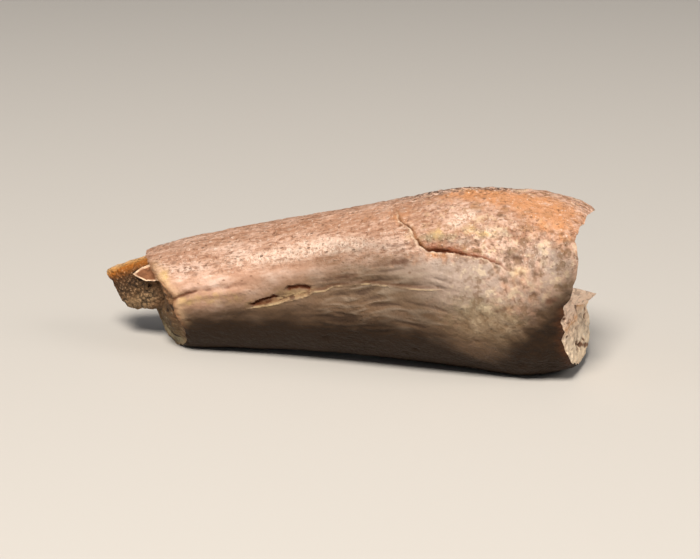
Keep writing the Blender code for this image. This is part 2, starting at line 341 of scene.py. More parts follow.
# %% [markdown]
# The near flank carries the marks that a claw's flank has. A shallow groove comes in from the tip end:
# it is where a blood vessel ran under the horn sheath. It runs on as a channel with a thin raised lip,
# and in the channel two deep slots open. Under the lip, fine ridges run along the bone and fan out
# towards its base. A long crack crosses the crest and sweeps back down the flank.

# %% Paths on the skin
TIP_GROOVE = [(-28.6, 88), (-26.2, 82.5), (-24.5, 78.5), (-22, 76.5), (-18, 75.5), (-15.5, 75),
              (-13.3, 74)]
CHANNEL_LIP = [(-15.4, 96.4), (-13.2, 94.8), (-10.0, 92.5), (-7.2, 89.5), (-4.3, 86.6), (-3.4, 84),
               (-1.7, 83.5), (-0.2, 80.6), (2.5, 80), (4.9, 79.4), (8.1, 81.2), (10.5, 82.4),
               (13.2, 83.8), (16.2, 84), (19, 83.4)]
TIP_NOTCH = [(-29.4, 90), (-27.9, 85.5), (-26.4, 81.5), (-24.9, 78.5), (-23.4, 76.5), (-22.4, 76)]
LOWER_SLOT = [(-14.5, 93.6), (-13.1, 91.2), (-12.2, 89.2), (-11.1, 87.6), (-9.9, 86.2), (-8.6, 85.2)]
UPPER_SLOT = [(-8.4, 82.8), (-7.5, 80.6), (-6.7, 79.4), (-5.9, 79), (-5.0, 79.3), (-4.2, 80.4), (-3.7, 81.4)]
LONG_CRACK = [(6.6, 352), (8.4, 376.5), (9.6, 392.5), (10.5, 396.5), (11.4, 399.5), (11.8, 403), (12.3, 408),
              (12.9, 412.5), (13.9, 416.5), (14.8, 418.5), (16.5, 419.5), (18.7, 421), (20.5, 422.5),
              (21.9, 423), (23.4, 424), (24.6, 425.5), (25.8, 427.5), (26.8, 430), (28.3, 431), (29.7, 432)]
CRACK_OPENING = [  # share of the crack, half width in mm
    (0, 0.03), (0.06, 0.06), (0.11, 0.15), (0.16, 0.11), (0.21, 0.16), (0.26, 0.2), (0.32, 0.12),
    (0.37, 0.2), (0.42, 0.16), (0.47, 0.25), (0.53, 0.27), (0.58, 0.19), (0.63, 0.12), (0.74, 0.09),
    (0.84, 0.08), (0.92, 0.05), (1, 0.02),
]
CRACK_SHADE = [  # share of the crack, how deep and dark it is
    (0, 0.15), (0.08, 0.35), (0.13, 0.95), (0.19, 0.8), (0.25, 0.3), (0.33, 0.35), (0.38, 0.9),
    (0.43, 0.55), (0.48, 1), (0.6, 0.9), (0.75, 0.7), (1, 0.5),
]
CRACK_BRANCH = [(17.0, 60.6), (17.4, 64.5), (17.6, 69)]
SCRATCHES = [[(25.6, 71), (26.2, 74), (26.9, 77)], [(28.4, 74), (29.3, 76), (30.2, 79)],
             [(29.9, 43.5), (29.4, 47), (29.6, 51)], [(23.5, 52), (24.4, 55), (24.9, 58)]]
THIN_BRANCH = [(10.6, 37), (8.4, 38), (6.2, 37), (4.6, 38.5), (1.6, 39), (-1.6, 40), (-3.4, 43), (-8.6, 46)]
FAR_GROOVE = [(-36, 281), (-24, 279), (-12, 275), (-3, 277), (6, 273), (15, 276), (20, 272)]
FAR_CRACK = [(6.6, 352), (5.4, 340), (6.8, 331), (4.4, 322), (3.6, 311), (5.4, 301)]
PITS = [  # x, turn, radius and depth in mm
    (-17.6, 76, 0.4, 0.2), (-20.8, 76.5, 0.35, 0.15), (-24.3, 107, 0.42, 0.4), (-9.5, 47.5, 0.3, 0.3),
    (-11.4, 20, 0.4, 0.35), (-21.6, 68.5, 0.28, 0.2), (-24.6, 56, 0.55, 0.12),
    (28.9, 62, 0.35, 0.2), (26.5, 77, 0.5, 0.3), (31.2, 84, 0.45, 0.35), (-1.8, 128, 0.4, 0.35),
    (22.5, 118, 0.4, 0.3), (12.6, 132, 0.35, 0.3), (23.4, 99, 0.5, 0.2), (33.4, 47, 0.4, 0.2),
    (-8, 250, 0.45, 0.4), (11, 292, 0.5, 0.4), (24, 240, 0.45, 0.4), (-22, 300, 0.35, 0.4),
]


def curved(path, places=60):
    """The same path with its corners rounded, as closely spaced points."""
    along = np.linspace(0, 1, len(path))
    fine = np.linspace(0, 1, places)
    xs, turns = (smooth_curve(fine, list(zip(along, values))) for values in zip(*path))
    return list(zip(xs.tolist(), turns.tolist()))


length = sum(abs(b[0] - a[0]) for a, b in zip(LONG_CRACK, LONG_CRACK[1:]))
print(f"the long crack runs over {length:.0f} mm of the bone's length")

# %% [markdown]
# The depth of each mark is a small function of the distance from its path. A crack has one edge lifted
# over the other, so its two sides differ. The channel has a thin lip on its lower side, and above the
# lip the skin steps in.

# %% Marks
SLOT_RAGGED, LINE_RAGGED, CRACK_RAGGED = 0.2, 0.1, 0.22  # mm by which noise makes a line wander
CHANNEL_DEPTH, CHANNEL_START, CHANNEL_REACH = 0.42, 0.15, 0.75  # mm, the last two above the lip
LIP_HEIGHT, LIP_WIDTH = 0.16, 0.17
SLOTS = ((LOWER_SLOT, 0.25, 0.65), (UPPER_SLOT, 0.36, 0.65))  # path, width and depth in mm
SLOT_DIP = 0.2  # mm by which the skin dips beside a slot
CRACK_DEPTH = 2.6  # depth of the crack, in half widths
CRACK_STEP, CRACK_STEP_REACH = 0.2, 1.1  # how far the upper side has sunk, and how far up that is felt
CRACK_LIP, CRACK_LIP_WIDTH = 0.12, 0.28
LINES = ((TIP_GROOVE, 0.45, 0.24), (TIP_NOTCH, 0.32, 0.3), (FAR_GROOVE, 1.1, 0.42), (FAR_CRACK, 0.25, 0.5),
         (CRACK_BRANCH, 0.2, 0.3), (THIN_BRANCH, 0.13, 0.13))  # path, width and depth in mm
GROOVE_BANK, BANK_AWAY, BANK_WIDTH = 0.25, 0.85, 0.45  # the raised bank beside the groove at the tip
SCRATCH_EDGE, SCRATCH_WIDTH = 0.1, 0.2  # the raised edge of a scratch
PIT_STRETCH = 1.5  # pits are this much longer along the bone than round it


def crease(gap, width, depth):
    """A V-shaped groove with a soft floor."""
    return -depth * bump(gap, width)


def ragged_line(x, turn, size, seed):
    """Noise on the skin that makes a line wander."""
    angle, radius = np.radians(turn), bone_radius(x)
    points = np.stack([x, radius * np.cos(angle), radius * np.sin(angle)], axis=-1)
    return layered_noise(points, size, seed, 2)


def channel(x, turn):
    """The channel: a step in above a thin raised lip, with the two slots in it."""
    lip_gap, share = off_path(x, turn, curved(CHANNEL_LIP))
    strength = fade(share, 0.1)
    hollow = CHANNEL_DEPTH * bump(np.clip(lip_gap - CHANNEL_START, 0, None), CHANNEL_REACH) * (lip_gap > 0)
    height = strength * (LIP_HEIGHT * bump(lip_gap, LIP_WIDTH) - hollow)
    for path, width, depth in SLOTS:
        gap, share = off_path(x, turn, curved(path))
        ragged = gap + SLOT_RAGGED * ragged_line(x, turn, 0.75, 21)
        cut = between(-ragged, -width, 0.12 - width) * (1 - between(-ragged, -0.5 * width, 1.2 * width))
        height -= depth * fade(share, 0.22) * cut
        beside = between(-ragged, -0.1, 0.1) * bump(np.clip(-gap - 0.3, 0, None), 0.4)
        height -= SLOT_DIP * fade(share, 0.2) * beside
    return height


def crack_place(x, turn):
    """Distance in mm from the long crack, half its width there, how dark it is and the share along it."""
    gap, share = off_path(x, turn, LONG_CRACK)
    gap = gap + CRACK_RAGGED * ragged_line(x, turn, 0.7, 23)
    return gap, smooth_curve(share, CRACK_OPENING), smooth_curve(share, CRACK_SHADE), share


def long_crack(x, turn):
    """The long crack: its upper side has sunk a little and its lower lip stands up."""
    gap, opening, shade, share = crack_place(x, turn)
    height = -CRACK_DEPTH * opening * shade * bump(gap - 0.5 * opening, opening)
    height -= CRACK_STEP * fade(share, 0.1) * bump(np.clip(gap, 0, None), CRACK_STEP_REACH) * (gap > 0)
    return height + CRACK_LIP * fade(share, 0.1) * bump(gap + CRACK_LIP_WIDTH, CRACK_LIP_WIDTH)


def marks(x, turn):
    """All grooves, cracks and pits, in mm."""
    height = channel(x, turn) + long_crack(x, turn)
    for path, width, depth in LINES:
        gap, share = off_path(x, turn, curved(path))
        gap = gap + LINE_RAGGED * ragged_line(x, turn, 1.2, 25)
        height += fade(share) * crease(gap, width, depth)
    gap, share = off_path(x, turn, curved(TIP_GROOVE))
    height += GROOVE_BANK * fade(share) * bump(gap + BANK_AWAY, BANK_WIDTH)
    for path in SCRATCHES:
        gap, share = off_path(x, turn, path)
        height += SCRATCH_EDGE * fade(share, 0.3) * bump(gap, SCRATCH_WIDTH)
    for at_x, at_turn, radius, depth in PITS:
        away = turn_from(turn, at_turn) * np.radians(1) * bone_radius(x)
        height -= depth * bump(np.hypot((x - at_x) / PIT_STRETCH, away), radius)
    return height


sample = marks(np.array([-6.5, 18.0]), np.array([79.5, 61.0]))
print("depth in the upper slot and in the crack, in mm:", sample.round(2))

# %% [markdown]
# Bone has a grain. Its fibres run along the shaft and fan out where the flank flares to the base. Each
# place on the skin gets a grain point: x, and a point on a circle that turns with the fan. Noise read at
# that point and stretched along x makes ridges and streaks that lie the way the fibres do.

# %% The grain
GRAIN_RADIUS = 10.5  # mm, so that the fibres close up towards the tip as the bone does
FAN_START, FAN_RUN, FAN_RATE = 6.0, 24.0, 0.0005  # where the fan starts, how long it is, how fast it bends


def grain(x, turn):
    """The grain point of each place, in mm."""
    near = between(turn, 30, 100) * between(-turn, -200, -120)
    far = between(turn, 160, 240) * between(-turn, -330, -260)
    fan = FAN_RATE * np.clip(x - FAN_START, 0, FAN_RUN) ** 3 / GRAIN_RADIUS
    angle = np.radians(turn) + fan * (far - near)
    return np.stack([x, GRAIN_RADIUS * np.cos(angle), GRAIN_RADIUS * np.sin(angle)], axis=-1)


def stretched(points, along, across, seed, layers=2):
    """Noise drawn out along the grain: bumps of one size along it and another across it."""
    return layered_noise(points / (along, across, across), 1.0, seed, layers)


print("grain point at the base, turn 90:", grain(np.array([30.0]), np.array([90.0])).round(1))

# %% [markdown]
# The smallest relief follows the grain: ridges on the flank, fine furrows elsewhere. Near the base the
# flank is knobbly, where tendons were fixed. A rough crust sits on the crest, and the skin is worn and
# chipped along both broken edges. Each kind of skin lies in a zone with soft borders, so a table says
# where it comes in and goes out, along x and round the bone.

# %% Fine relief
LUMP, LUMP_SIZE = 0.16, 5.0
RIDGE, RIDGE_LENGTH, RIDGE_WIDTH, RIDGE_SWAY = 0.11, 6.0, 0.85, 0.5
FURROW, FURROW_LENGTH, FURROW_WIDTH = 0.09, 3.2, 0.9
KNOB, KNOB_SIZE = 0.36, 2.1
CRUST, CRUST_SIZE = 0.2, 0.9
WART, WART_SIZE = 0.14, 1.3
GRIT, GRIT_SIZE = 0.1, 0.9
EDGE_WEAR, EDGE_REACH, CHIP = 0.16, 0.35, 0.3
RIDGE_LOSS, RIDGE_LOSS_RUN = 0.8, (11, 25)  # how much weaker the ridges get, and over which x
WORN_SHARE = 0.7  # how much of the fine relief is worn off the lower flank
ZONES = {  # x where it comes in, x where it goes out, and the same for the turn; None is no border
    "ridges": ((-10, 4), None, (56, 74), (112, 136)),
    "worn flank": ((2, 10), None, (62, 76), (115, 145)),
    "smooth tip half": (None, (-6, 3), (52, 70), (160, 190)),
    "knobs": ((22, 31), None, (30, 70), (135, 165)),
    "crust": ((2, 9), (27, 34), None, (9, 17)),
    "warts": ((9, 14), None, None, (50, 64)),
}


def zone(name, x, turn=0):
    """1 inside a zone, 0 outside it, and a smooth change over its borders."""
    share = np.ones(x.shape)
    for value, borders in ((x, ZONES[name][:2]), (turn, ZONES[name][2:])):
        comes_in, goes_out = borders
        if comes_in:
            share = share * between(value, *comes_in)
        if goes_out:
            share = share * between(-value, -goes_out[1], -goes_out[0])
    return share


def ridged(x, turn):
    """How far each place is up a ridge, from about -1 to 1, and how ridged that part of the skin is."""
    place = grain(x, turn)
    sway = np.stack([0 * x, soft_noise(place, 5.0, 37), soft_noise(place, 5.0, 38)], axis=-1)
    place = place + RIDGE_SWAY * sway
    fine = stretched(place, 0.5 * RIDGE_LENGTH, 0.5 * RIDGE_WIDTH, 35, 1)
    raised = 1 - 3.2 * np.abs(stretched(place, RIDGE_LENGTH, RIDGE_WIDTH, 31, 1)) + fine
    return raised, zone("ridges", x, turn) * (1 - RIDGE_LOSS * between(x, *RIDGE_LOSS_RUN))


def ridges(x, turn):
    """Ridges along the fibres, strongest below the channel and on the flare."""
    raised, flank = ridged(x, turn)
    furrows = stretched(grain(x, turn), FURROW_LENGTH, FURROW_WIDTH, 33)
    furrow = FURROW * (1 - 0.8 * zone("smooth tip half", x, turn)) * (1 - worn_flank(x, turn))
    return RIDGE * flank * raised + furrow * furrows


def worn_flank(x, turn):
    """How much of the fine relief is worn off: most on the lower flank towards the base."""
    return WORN_SHARE * zone("worn flank", x, turn)


def rough_patches(x, turn, points):
    """Knobs beside the base, the crust on the crest and a fine grit all over."""
    crest = np.minimum(turn, 360 - turn)
    height = KNOB * zone("knobs", x, turn) * layered_noise(points, KNOB_SIZE, 41, 2)
    height += CRUST * zone("crust", x, crest) * (0.3 + layered_noise(points, CRUST_SIZE, 43, 2))
    height += WART * zone("warts", x, crest) * layered_noise(points, WART_SIZE, 49, 2)
    grit = GRIT * (1 - 0.75 * zone("smooth tip half", x, turn)) * (1 - worn_flank(x, turn))
    return height + grit * layered_noise(points, GRIT_SIZE, 45, 2)


def worn_edge(x, turn, points):
    """The skin is rounded off and chipped beside the breaks."""
    to_break = np.minimum(x - broken_edge(turn, TIP_BREAK, 5), broken_edge(turn, BASE_BREAK, 6) - x)
    chips = between(layered_noise(points, 1.6, 47, 2), 0.1, 0.5)
    return -EDGE_WEAR * bump(to_break, EDGE_REACH) - CHIP * chips * bump(to_break, 2 * EDGE_REACH)


print("ridge height at x = 12, turn 90:", ridges(np.array([12.0]), np.array([90.0])).round(3), "mm")

# %% [markdown]
# The skin is the bare section pushed out or in by all of this, and worn flat where it lies on the table.
# A grid of rings and columns covers it, closest on the flank that shows the channel and the crack.

# %% The skin
COLUMNS = [(0, 18, 14), (18, 120, 122), (120, 180, 34), (180, 250, 26), (250, 300, 24), (300, 360, 28)]
RINGS = 300


def steps_of(spans):
    """Every step of a list of (from, to, steps) spans, without the last end."""
    return np.concatenate([np.linspace(a, b, n, endpoint=False) for a, b, n in spans])


def skin(x, turn):
    """Points of the outer surface, in mm."""
    y, z = bone_section(x, turn)
    middle = section_shape(x)[0]
    outward = np.hypot(y, z - middle)
    points = np.stack([x, y, z], axis=-1)
    height = swells(x, turn) + marks(x, turn) + LUMP * soft_noise(points, LUMP_SIZE, 1)
    height += ridges(x, turn) + rough_patches(x, turn, points) + worn_edge(x, turn, points)
    scale = 1 + height / outward
    return np.stack([x, y * scale, np.maximum(middle + (z - middle) * scale, 0)], axis=-1)


turns = steps_of(COLUMNS)
share = np.linspace(0, 1, RINGS)[:, None]
xs = broken_edge(turns, TIP_BREAK, 5) * (1 - share) + broken_edge(turns, BASE_BREAK, 6) * share
skin_rings = skin(xs, np.broadcast_to(turns, xs.shape))
print("skin points:", skin_rings.shape[:2], "highest:", round(float(skin_rings[..., 2].max()), 2), "mm")

# %% [markdown]
# ## The broken ends
#
# Behind the dense outer wall the bone is a sponge: cells with thin walls between them. Voronoi noise
# gives the distance to the nearest cell wall, so the cells can be sunk and the walls left standing. How
# deep a point lies in its cell is kept as hollow, for the colours. The cells of the base break are drawn
# out sideways into plates, and long slots run between the plates.

# %% Sponge and faces of the breaks
TIP_PLANE = (-28.3, -0.55, -0.34)  # x at y = z = 0, then the slopes along y and z
TIP_HOLE = (-1.6, 8.6, 1.9, 1.8)  # y, z, radius and shift of the hollow beside the tongue
TIP_SWELL = (-2.8, 5.4, 3.2, -1.5)  # and of the swelling in front of the tongue's foot
BASE_DENT = (2.4, 9.8, 2.8, -0.9)  # the face is dented in under the spur
BASE_LOW_PLANE = (37.3, 0.12, -0.02)  # the lower half of the base break stands out
BASE_HIGH_PLANE = (33.7, -0.08, 0.0)  # its upper half is broken back, behind a thin wall
LEDGE_HEIGHT, LEDGE_FALL, LEDGE_BLUR = 12.9, 0.42, 0.3
RIM = 0.14  # thickness of the dense wall, as a share of the radius
BREAK_LUMP, BREAK_LUMP_SIZE = 0.45, 2.6
BREAK_SHARES = np.concatenate([np.linspace(0.99, 0.8, 13), np.linspace(0.775, 0.04, 24)])
WALL = 0.16  # how much of a cell is taken up by its wall
BASE_SLOTS = [  # y and z where it starts and where it ends, and half its width
    (-3.4, 5.6, 6.3, 1.9, 0.3),
    (-6.2, 13.4, 3.1, 9.9, 0.3),
    (-8.6, 10.6, -6.0, 9.8, 0.25),
]
ACROSS = 0.55  # the cells of the base break are drawn out along y by one over this
SLOT_WANDER = 0.4  # mm by which noise bends the sides of the slots in a break
OPEN_PATCH = 2.4  # mm across the patches in which the cells are open
BREAK_GRIT, BREAK_GRIT_SIZE = 0.6, 1.1  # as a share of the depth of a cell, and in mm


def cells(points, size, seed):
    """How deep each point lies in its cell: 0 on the walls, 1 in the middle of a cell."""
    flat = (points.reshape(-1, 3) / size + 7.9 * seed).tolist()
    gaps = [noise.voronoi(p)[0] for p in flat]
    return between(np.array([g[1] - g[0] for g in gaps]), WALL, 0.6).reshape(points.shape[:-1])


def dimple(y, z, shape):
    """How far a round dent or swelling shifts the face of a break towards +X, in mm."""
    at_y, at_z, radius, depth = shape
    return depth * bump(np.hypot(y - at_y, z - at_z), radius)


def tip_face(y, z):
    """x of the slanting break at the tip."""
    at_zero, along_y, along_z = TIP_PLANE
    return at_zero + along_y * y + along_z * z + dimple(y, z, TIP_HOLE) + dimple(y, z, TIP_SWELL)


def base_face(y, z):
    """x of the stepped break at the base."""
    above = 0.5 + 0.5 * np.tanh((z + LEDGE_FALL * y - LEDGE_HEIGHT) / LEDGE_BLUR)
    low, high = (p[0] + p[1] * y + p[2] * z for p in (BASE_LOW_PLANE, BASE_HIGH_PLANE))
    return low * (1 - above) + high * above + dimple(y, z, BASE_DENT)


def slots(y, z, places):
    """1 in the middle of long open slots in a break, 0 away from them."""
    depth = 0 * y
    for start_y, start_z, end_y, end_z, half_width in places:
        along_y, along_z = end_y - start_y, end_z - start_z
        t = np.clip(((y - start_y) * along_y + (z - start_z) * along_z) / (along_y**2 + along_z**2), 0, 1)
        away = np.hypot(y - start_y - t * along_y, z - start_z - t * along_z)
        depth = np.maximum(depth, bump(away, half_width * (0.4 + 2.4 * t * (1 - t))))
    return depth


def break_rings(edge, face, outward, seed, cell_size, cell_depth, across=1, places=()):
    """Rings from the broken edge of the skin to the middle of the break, and their hollows."""
    centre = edge.mean(axis=0)
    ring = centre + (edge - centre) * BREAK_SHARES[:, None, None]
    rim = np.clip((BREAK_SHARES - (1 - RIM)) / RIM, 0, 1)[:, None]
    inner = face(ring[..., 1], ring[..., 2]) + BREAK_LUMP * soft_noise(ring, BREAK_LUMP_SIZE, seed)
    flat = ring * (0, across, 1)
    open_part = between(-rim, -0.6, 0) * between(layered_noise(flat, OPEN_PATCH, seed), -0.5, 0.1)
    wander = SLOT_WANDER * layered_noise(ring, 1.0, seed + 4)
    open_slots = slots(ring[..., 1], ring[..., 2] + wander, places)
    hollow = np.maximum(cells(flat, cell_size, seed) * open_part, open_slots)
    texture = BREAK_GRIT * layered_noise(flat, BREAK_GRIT_SIZE, seed + 1) - hollow
    ring[..., 0] = inner + (edge[:, 0] - inner) * rim**0.5 + outward * cell_depth * texture * (1 - rim)
    return ring, hollow


tip_rings, tip_hollow = break_rings(skin_rings[0], tip_face, -1, seed=2, cell_size=1.3, cell_depth=0.45)
base_rings, base_hollow = break_rings(skin_rings[-1], base_face, 1, seed=3, cell_size=0.85, cell_depth=0.4,
                                      across=ACROSS, places=BASE_SLOTS)
print("rings on each break:", len(tip_rings), "of", len(turns), "points")

# %% [markdown]
# A wedge of the spongy inside was left standing at the tip: the tongue. Its sections are boxes with
# rounded corners. An angular shard of dense bone clings to it, and a spur of bone stands out of the base.

# %% Tongue and splinters
TONGUE = [(-29.0, 15.1, 6.0, -1.8, 5.0), (-33.5, 13.8, 5.4, -1.3, 5.2), (-36.3, 12.8, 5.3, -0.6, 4.8),
          (-37.7, 12.3, 6.1, -0.2, 4.4), (-39.1, 11.8, 8.2, 0.5, 3.8), (-40.2, 11.4, 9.6, 1.1, 3.3),
          (-40.8, 11.1, 10.2, 1.7, 3.0)]  # x, top, bottom, near side and far side
TONGUE_FULLNESS, TONGUE_SIDES, TONGUE_RINGS = 5.0, 84, 52
TONGUE_CELL, TONGUE_CELL_DEPTH = 1.5, 0.5
TONGUE_GRIT, TONGUE_GRIT_SIZE = 0.2, 1.2
TONGUE_BARE = (1.3, 2.4)  # mm below its top between which its cells open
TRACED = 720  # places at which a section is traced before it is divided evenly
SHARD = ([(-30.6, -2.7, 14.4), (-33.8, -2.3, 13.0), (-35.1, -1.9, 11.9), (-34.0, -2.1, 11.3),
          (-32.7, -2.5, 11.0), (-30.6, -2.6, 11.3)],
         [(-30.6, 1.0, 14.1), (-33.8, 1.0, 12.8), (-34.9, 1.0, 11.9), (-34.0, 1.0, 11.4),
          (-32.7, 1.0, 11.2), (-30.6, 1.0, 11.5)])
SPUR = ([(34.0, -10.0, 17.0), (37.2, -6.6, 15.7), (39.8, -0.6, 13.1), (37.4, 2.0, 12.1), (34.0, 3.0, 11.6)],
        [(34.0, -9.4, 14.2), (36.4, -6.0, 12.8), (38.0, -1.2, 11.4), (36.6, 1.4, 10.6), (34.0, 2.6, 10.0)])
SPLINTER_SIDES, SPLINTER_RINGS, SPLINTER_GRIT, SPLINTER_GRIT_SIZE = 60, 12, 0.1, 1.1
CLOSING = np.linspace(0.1, 0.9, 9)[:, None, None]  # how far out each ring of an end face lies


def tongue_curve(x, column):
    """Top, bottom, near side or far side of the tongue at each x."""
    sections = np.array(TONGUE[::-1])
    return smooth_curve(x, list(zip(sections[:, 0], sections[:, column])))


def tongue_rings():
    """Rings along the tongue, pitted with cells, and their hollows."""
    x = np.linspace(TONGUE[0][0], TONGUE[-1][0], TONGUE_RINGS)
    top, bottom, near, far = (tongue_curve(x, i)[:, None] for i in range(1, 5))
    angle = np.linspace(0, 2 * np.pi, TRACED)
    power = 2 / TONGUE_FULLNESS
    across = -np.sign(np.sin(angle)) * np.abs(np.sin(angle)) ** power
    up = np.sign(np.cos(angle)) * np.abs(np.cos(angle)) ** power
    walked = np.concatenate([[0], np.cumsum(np.hypot(np.diff(across), np.diff(up)))])
    even = np.linspace(0, walked[-1], TONGUE_SIDES, endpoint=False)
    across, up = np.interp(even, walked, across), np.interp(even, walked, up)
    y = (near + far) / 2 + across * (far - near) / 2
    z = (top + bottom) / 2 + up * (top - bottom) / 2
    rings = np.stack([np.broadcast_to(x[:, None], y.shape), y, z], axis=-1)
    rings[..., 1] += BREAK_LUMP * soft_noise(rings, BREAK_LUMP_SIZE, 4)
    hollow = cells(rings, TONGUE_CELL, 9) * between(layered_noise(rings, 2.6, 8), -0.35, 0.25)
    hollow *= between(top - z, *TONGUE_BARE)
    middle = rings.mean(axis=1, keepdims=True)
    inward = (middle - rings) / np.linalg.norm(middle - rings, axis=-1, keepdims=True)
    rough = TONGUE_CELL_DEPTH * hollow - TONGUE_GRIT * layered_noise(rings, TONGUE_GRIT_SIZE, 11)
    return rings + inward * rough[..., None], hollow


def splinter_rings(outlines, seed):
    """Rings between two outlines of corners, with a little grit on them."""
    around = np.linspace(0, len(outlines[0]), SPLINTER_SIDES, endpoint=False)
    first, last = (
        np.stack([np.interp(around, range(len(outline) + 1), [corner[i] for corner in (*outline, outline[0])])
                  for i in range(3)], axis=-1)
        for outline in outlines
    )
    between_them = np.linspace(0, 1, SPLINTER_RINGS)[:, None, None]
    rings = first * (1 - between_them) + last * between_them
    rings = np.concatenate([first.mean(0) + (first - first.mean(0)) * CLOSING, rings,
                            last.mean(0) + (last - last.mean(0)) * CLOSING[::-1]])
    outward = rings - rings.mean(axis=(0, 1))
    outward /= np.linalg.norm(outward, axis=-1, keepdims=True)
    inner = np.concatenate([1 - CLOSING[:, 0, 0], np.zeros(SPLINTER_RINGS), 1 - CLOSING[::-1, 0, 0]])
    hollow = np.broadcast_to(between(inner, 0.02, 0.45)[:, None], rings.shape[:2])
    grit = layered_noise(rings, SPLINTER_GRIT_SIZE, seed)[..., None]
    return rings + outward * SPLINTER_GRIT * grit, hollow


print("tongue rings:", tongue_rings()[0].shape[:2], "splinter rings:", splinter_rings(SHARD, 3)[0].shape[:2])

# %% [markdown]
# Every body is a tube of rings with a hub at each end. Each face takes one of five finishes. They get
# their names here, because a Boolean keeps them only if every body has them, and their looks later.

# %% Closed meshes
FINISHES = ["weathered fossil bone", "old break of dense bone", "spongy inner bone",
            "newer break of spongy bone", "dense splinter"]
SKIN, OLD_BREAK, SPONGE, NEW_BREAK, DENSE = range(len(FINISHES))
materials = [bpy.data.materials.new(name) for name in FINISHES]


def closed_mesh(name, rings, finishes):
    """An object through rings of points. finishes has one number for each band between two rings."""
    rows, columns = rings.shape[:2]
    points = np.concatenate([rings.reshape(-1, 3), rings[:1].mean(axis=1), rings[-1:].mean(axis=1)])
    here = np.arange(rows * columns).reshape(rows, columns)
    beside = np.roll(here, -1, axis=1)
    walls = np.stack([here[:-1], beside[:-1], beside[1:], here[:-1], beside[1:], here[1:]], axis=-1)
    hubs = np.full(columns, rows * columns)
    first_cap = np.stack([beside[0], here[0], hubs], axis=-1)
    last_cap = np.stack([here[-1], beside[-1], hubs + 1], axis=-1)
    faces = np.concatenate([walls.reshape(-1, 3), first_cap, last_cap])
    a, b, c = points[faces].transpose(1, 0, 2)
    if np.einsum("ij,ij->", a, np.cross(b, c)) < 0:
        faces = faces[:, ::-1]
    mesh = bpy.data.meshes.new(name)
    mesh.from_pydata(in_frame(points).tolist(), [], faces.tolist())
    bands = [*np.repeat(finishes, 2 * columns), *[finishes[0]] * columns, *[finishes[-1]] * columns]
    mesh.polygons.foreach_set("material_index", bands)
    for material in materials:
        mesh.materials.append(material)
    thing = bpy.data.objects.new(name, mesh)
    bpy.context.scene.collection.objects.link(thing)
    return thing


body_rings = np.concatenate([tip_rings[::-1], skin_rings, base_rings])
finishes = [OLD_BREAK] * len(tip_rings) + [SKIN] * (RINGS - 1) + [NEW_BREAK] * len(base_rings)
claw = closed_mesh("fossil_claw", body_rings, finishes)
rings, hollow = tongue_rings()
tongue = closed_mesh("tongue", rings, [SPONGE] * (TONGUE_RINGS - 1))
hollows = [(tip_rings, tip_hollow), (base_rings, base_hollow), (rings, hollow)]
splinters = []
for name, outlines, finish in (("shard", SHARD, DENSE), ("spur", SPUR, NEW_BREAK)):
    rings, hollow = splinter_rings(outlines, len(name))
    hollows.append((rings, hollow))
    splinters.append(closed_mesh(name, rings, [finish] * (len(rings) - 1)))
print("triangles before they are joined:", sum(len(o.data.polygons) for o in (claw, tongue, *splinters)))

# %% [markdown]
# The bodies grew in one, so they are joined into one closed skin with Boolean unions, which keep each
# face's finish.

# %% Joining
def join(whole, pieces):
    """Joins the pieces to the whole, for good."""
    for piece in pieces:
        union = whole.modifiers.new(piece.name, "BOOLEAN")
        union.operation, union.solver, union.object = "UNION", "EXACT", piece
    bpy.context.view_layer.update()
    joined = bpy.data.meshes.new_from_object(whole.evaluated_get(bpy.context.evaluated_depsgraph_get()))
    whole.modifiers.clear()
    whole.data = joined
    for piece in pieces:
        bpy.data.objects.remove(piece)


join(claw, [tongue, *splinters])
triangles = sum(len(face.vertices) - 2 for face in claw.data.polygons)
loose = sum(1 for edge in claw.data.edges if edge.is_loose)
print("triangles:", triangles, "loose edges:", loose)

# %% [markdown]
# ## Colour
#
# The shaders need to know where on the claw they are. From the joined mesh each point gets its turn
# back, and from that its grain point, its distance in mm from the crack, the lip and the broken edge,
# how deep it lies under the skin, and how much of each stain it has.

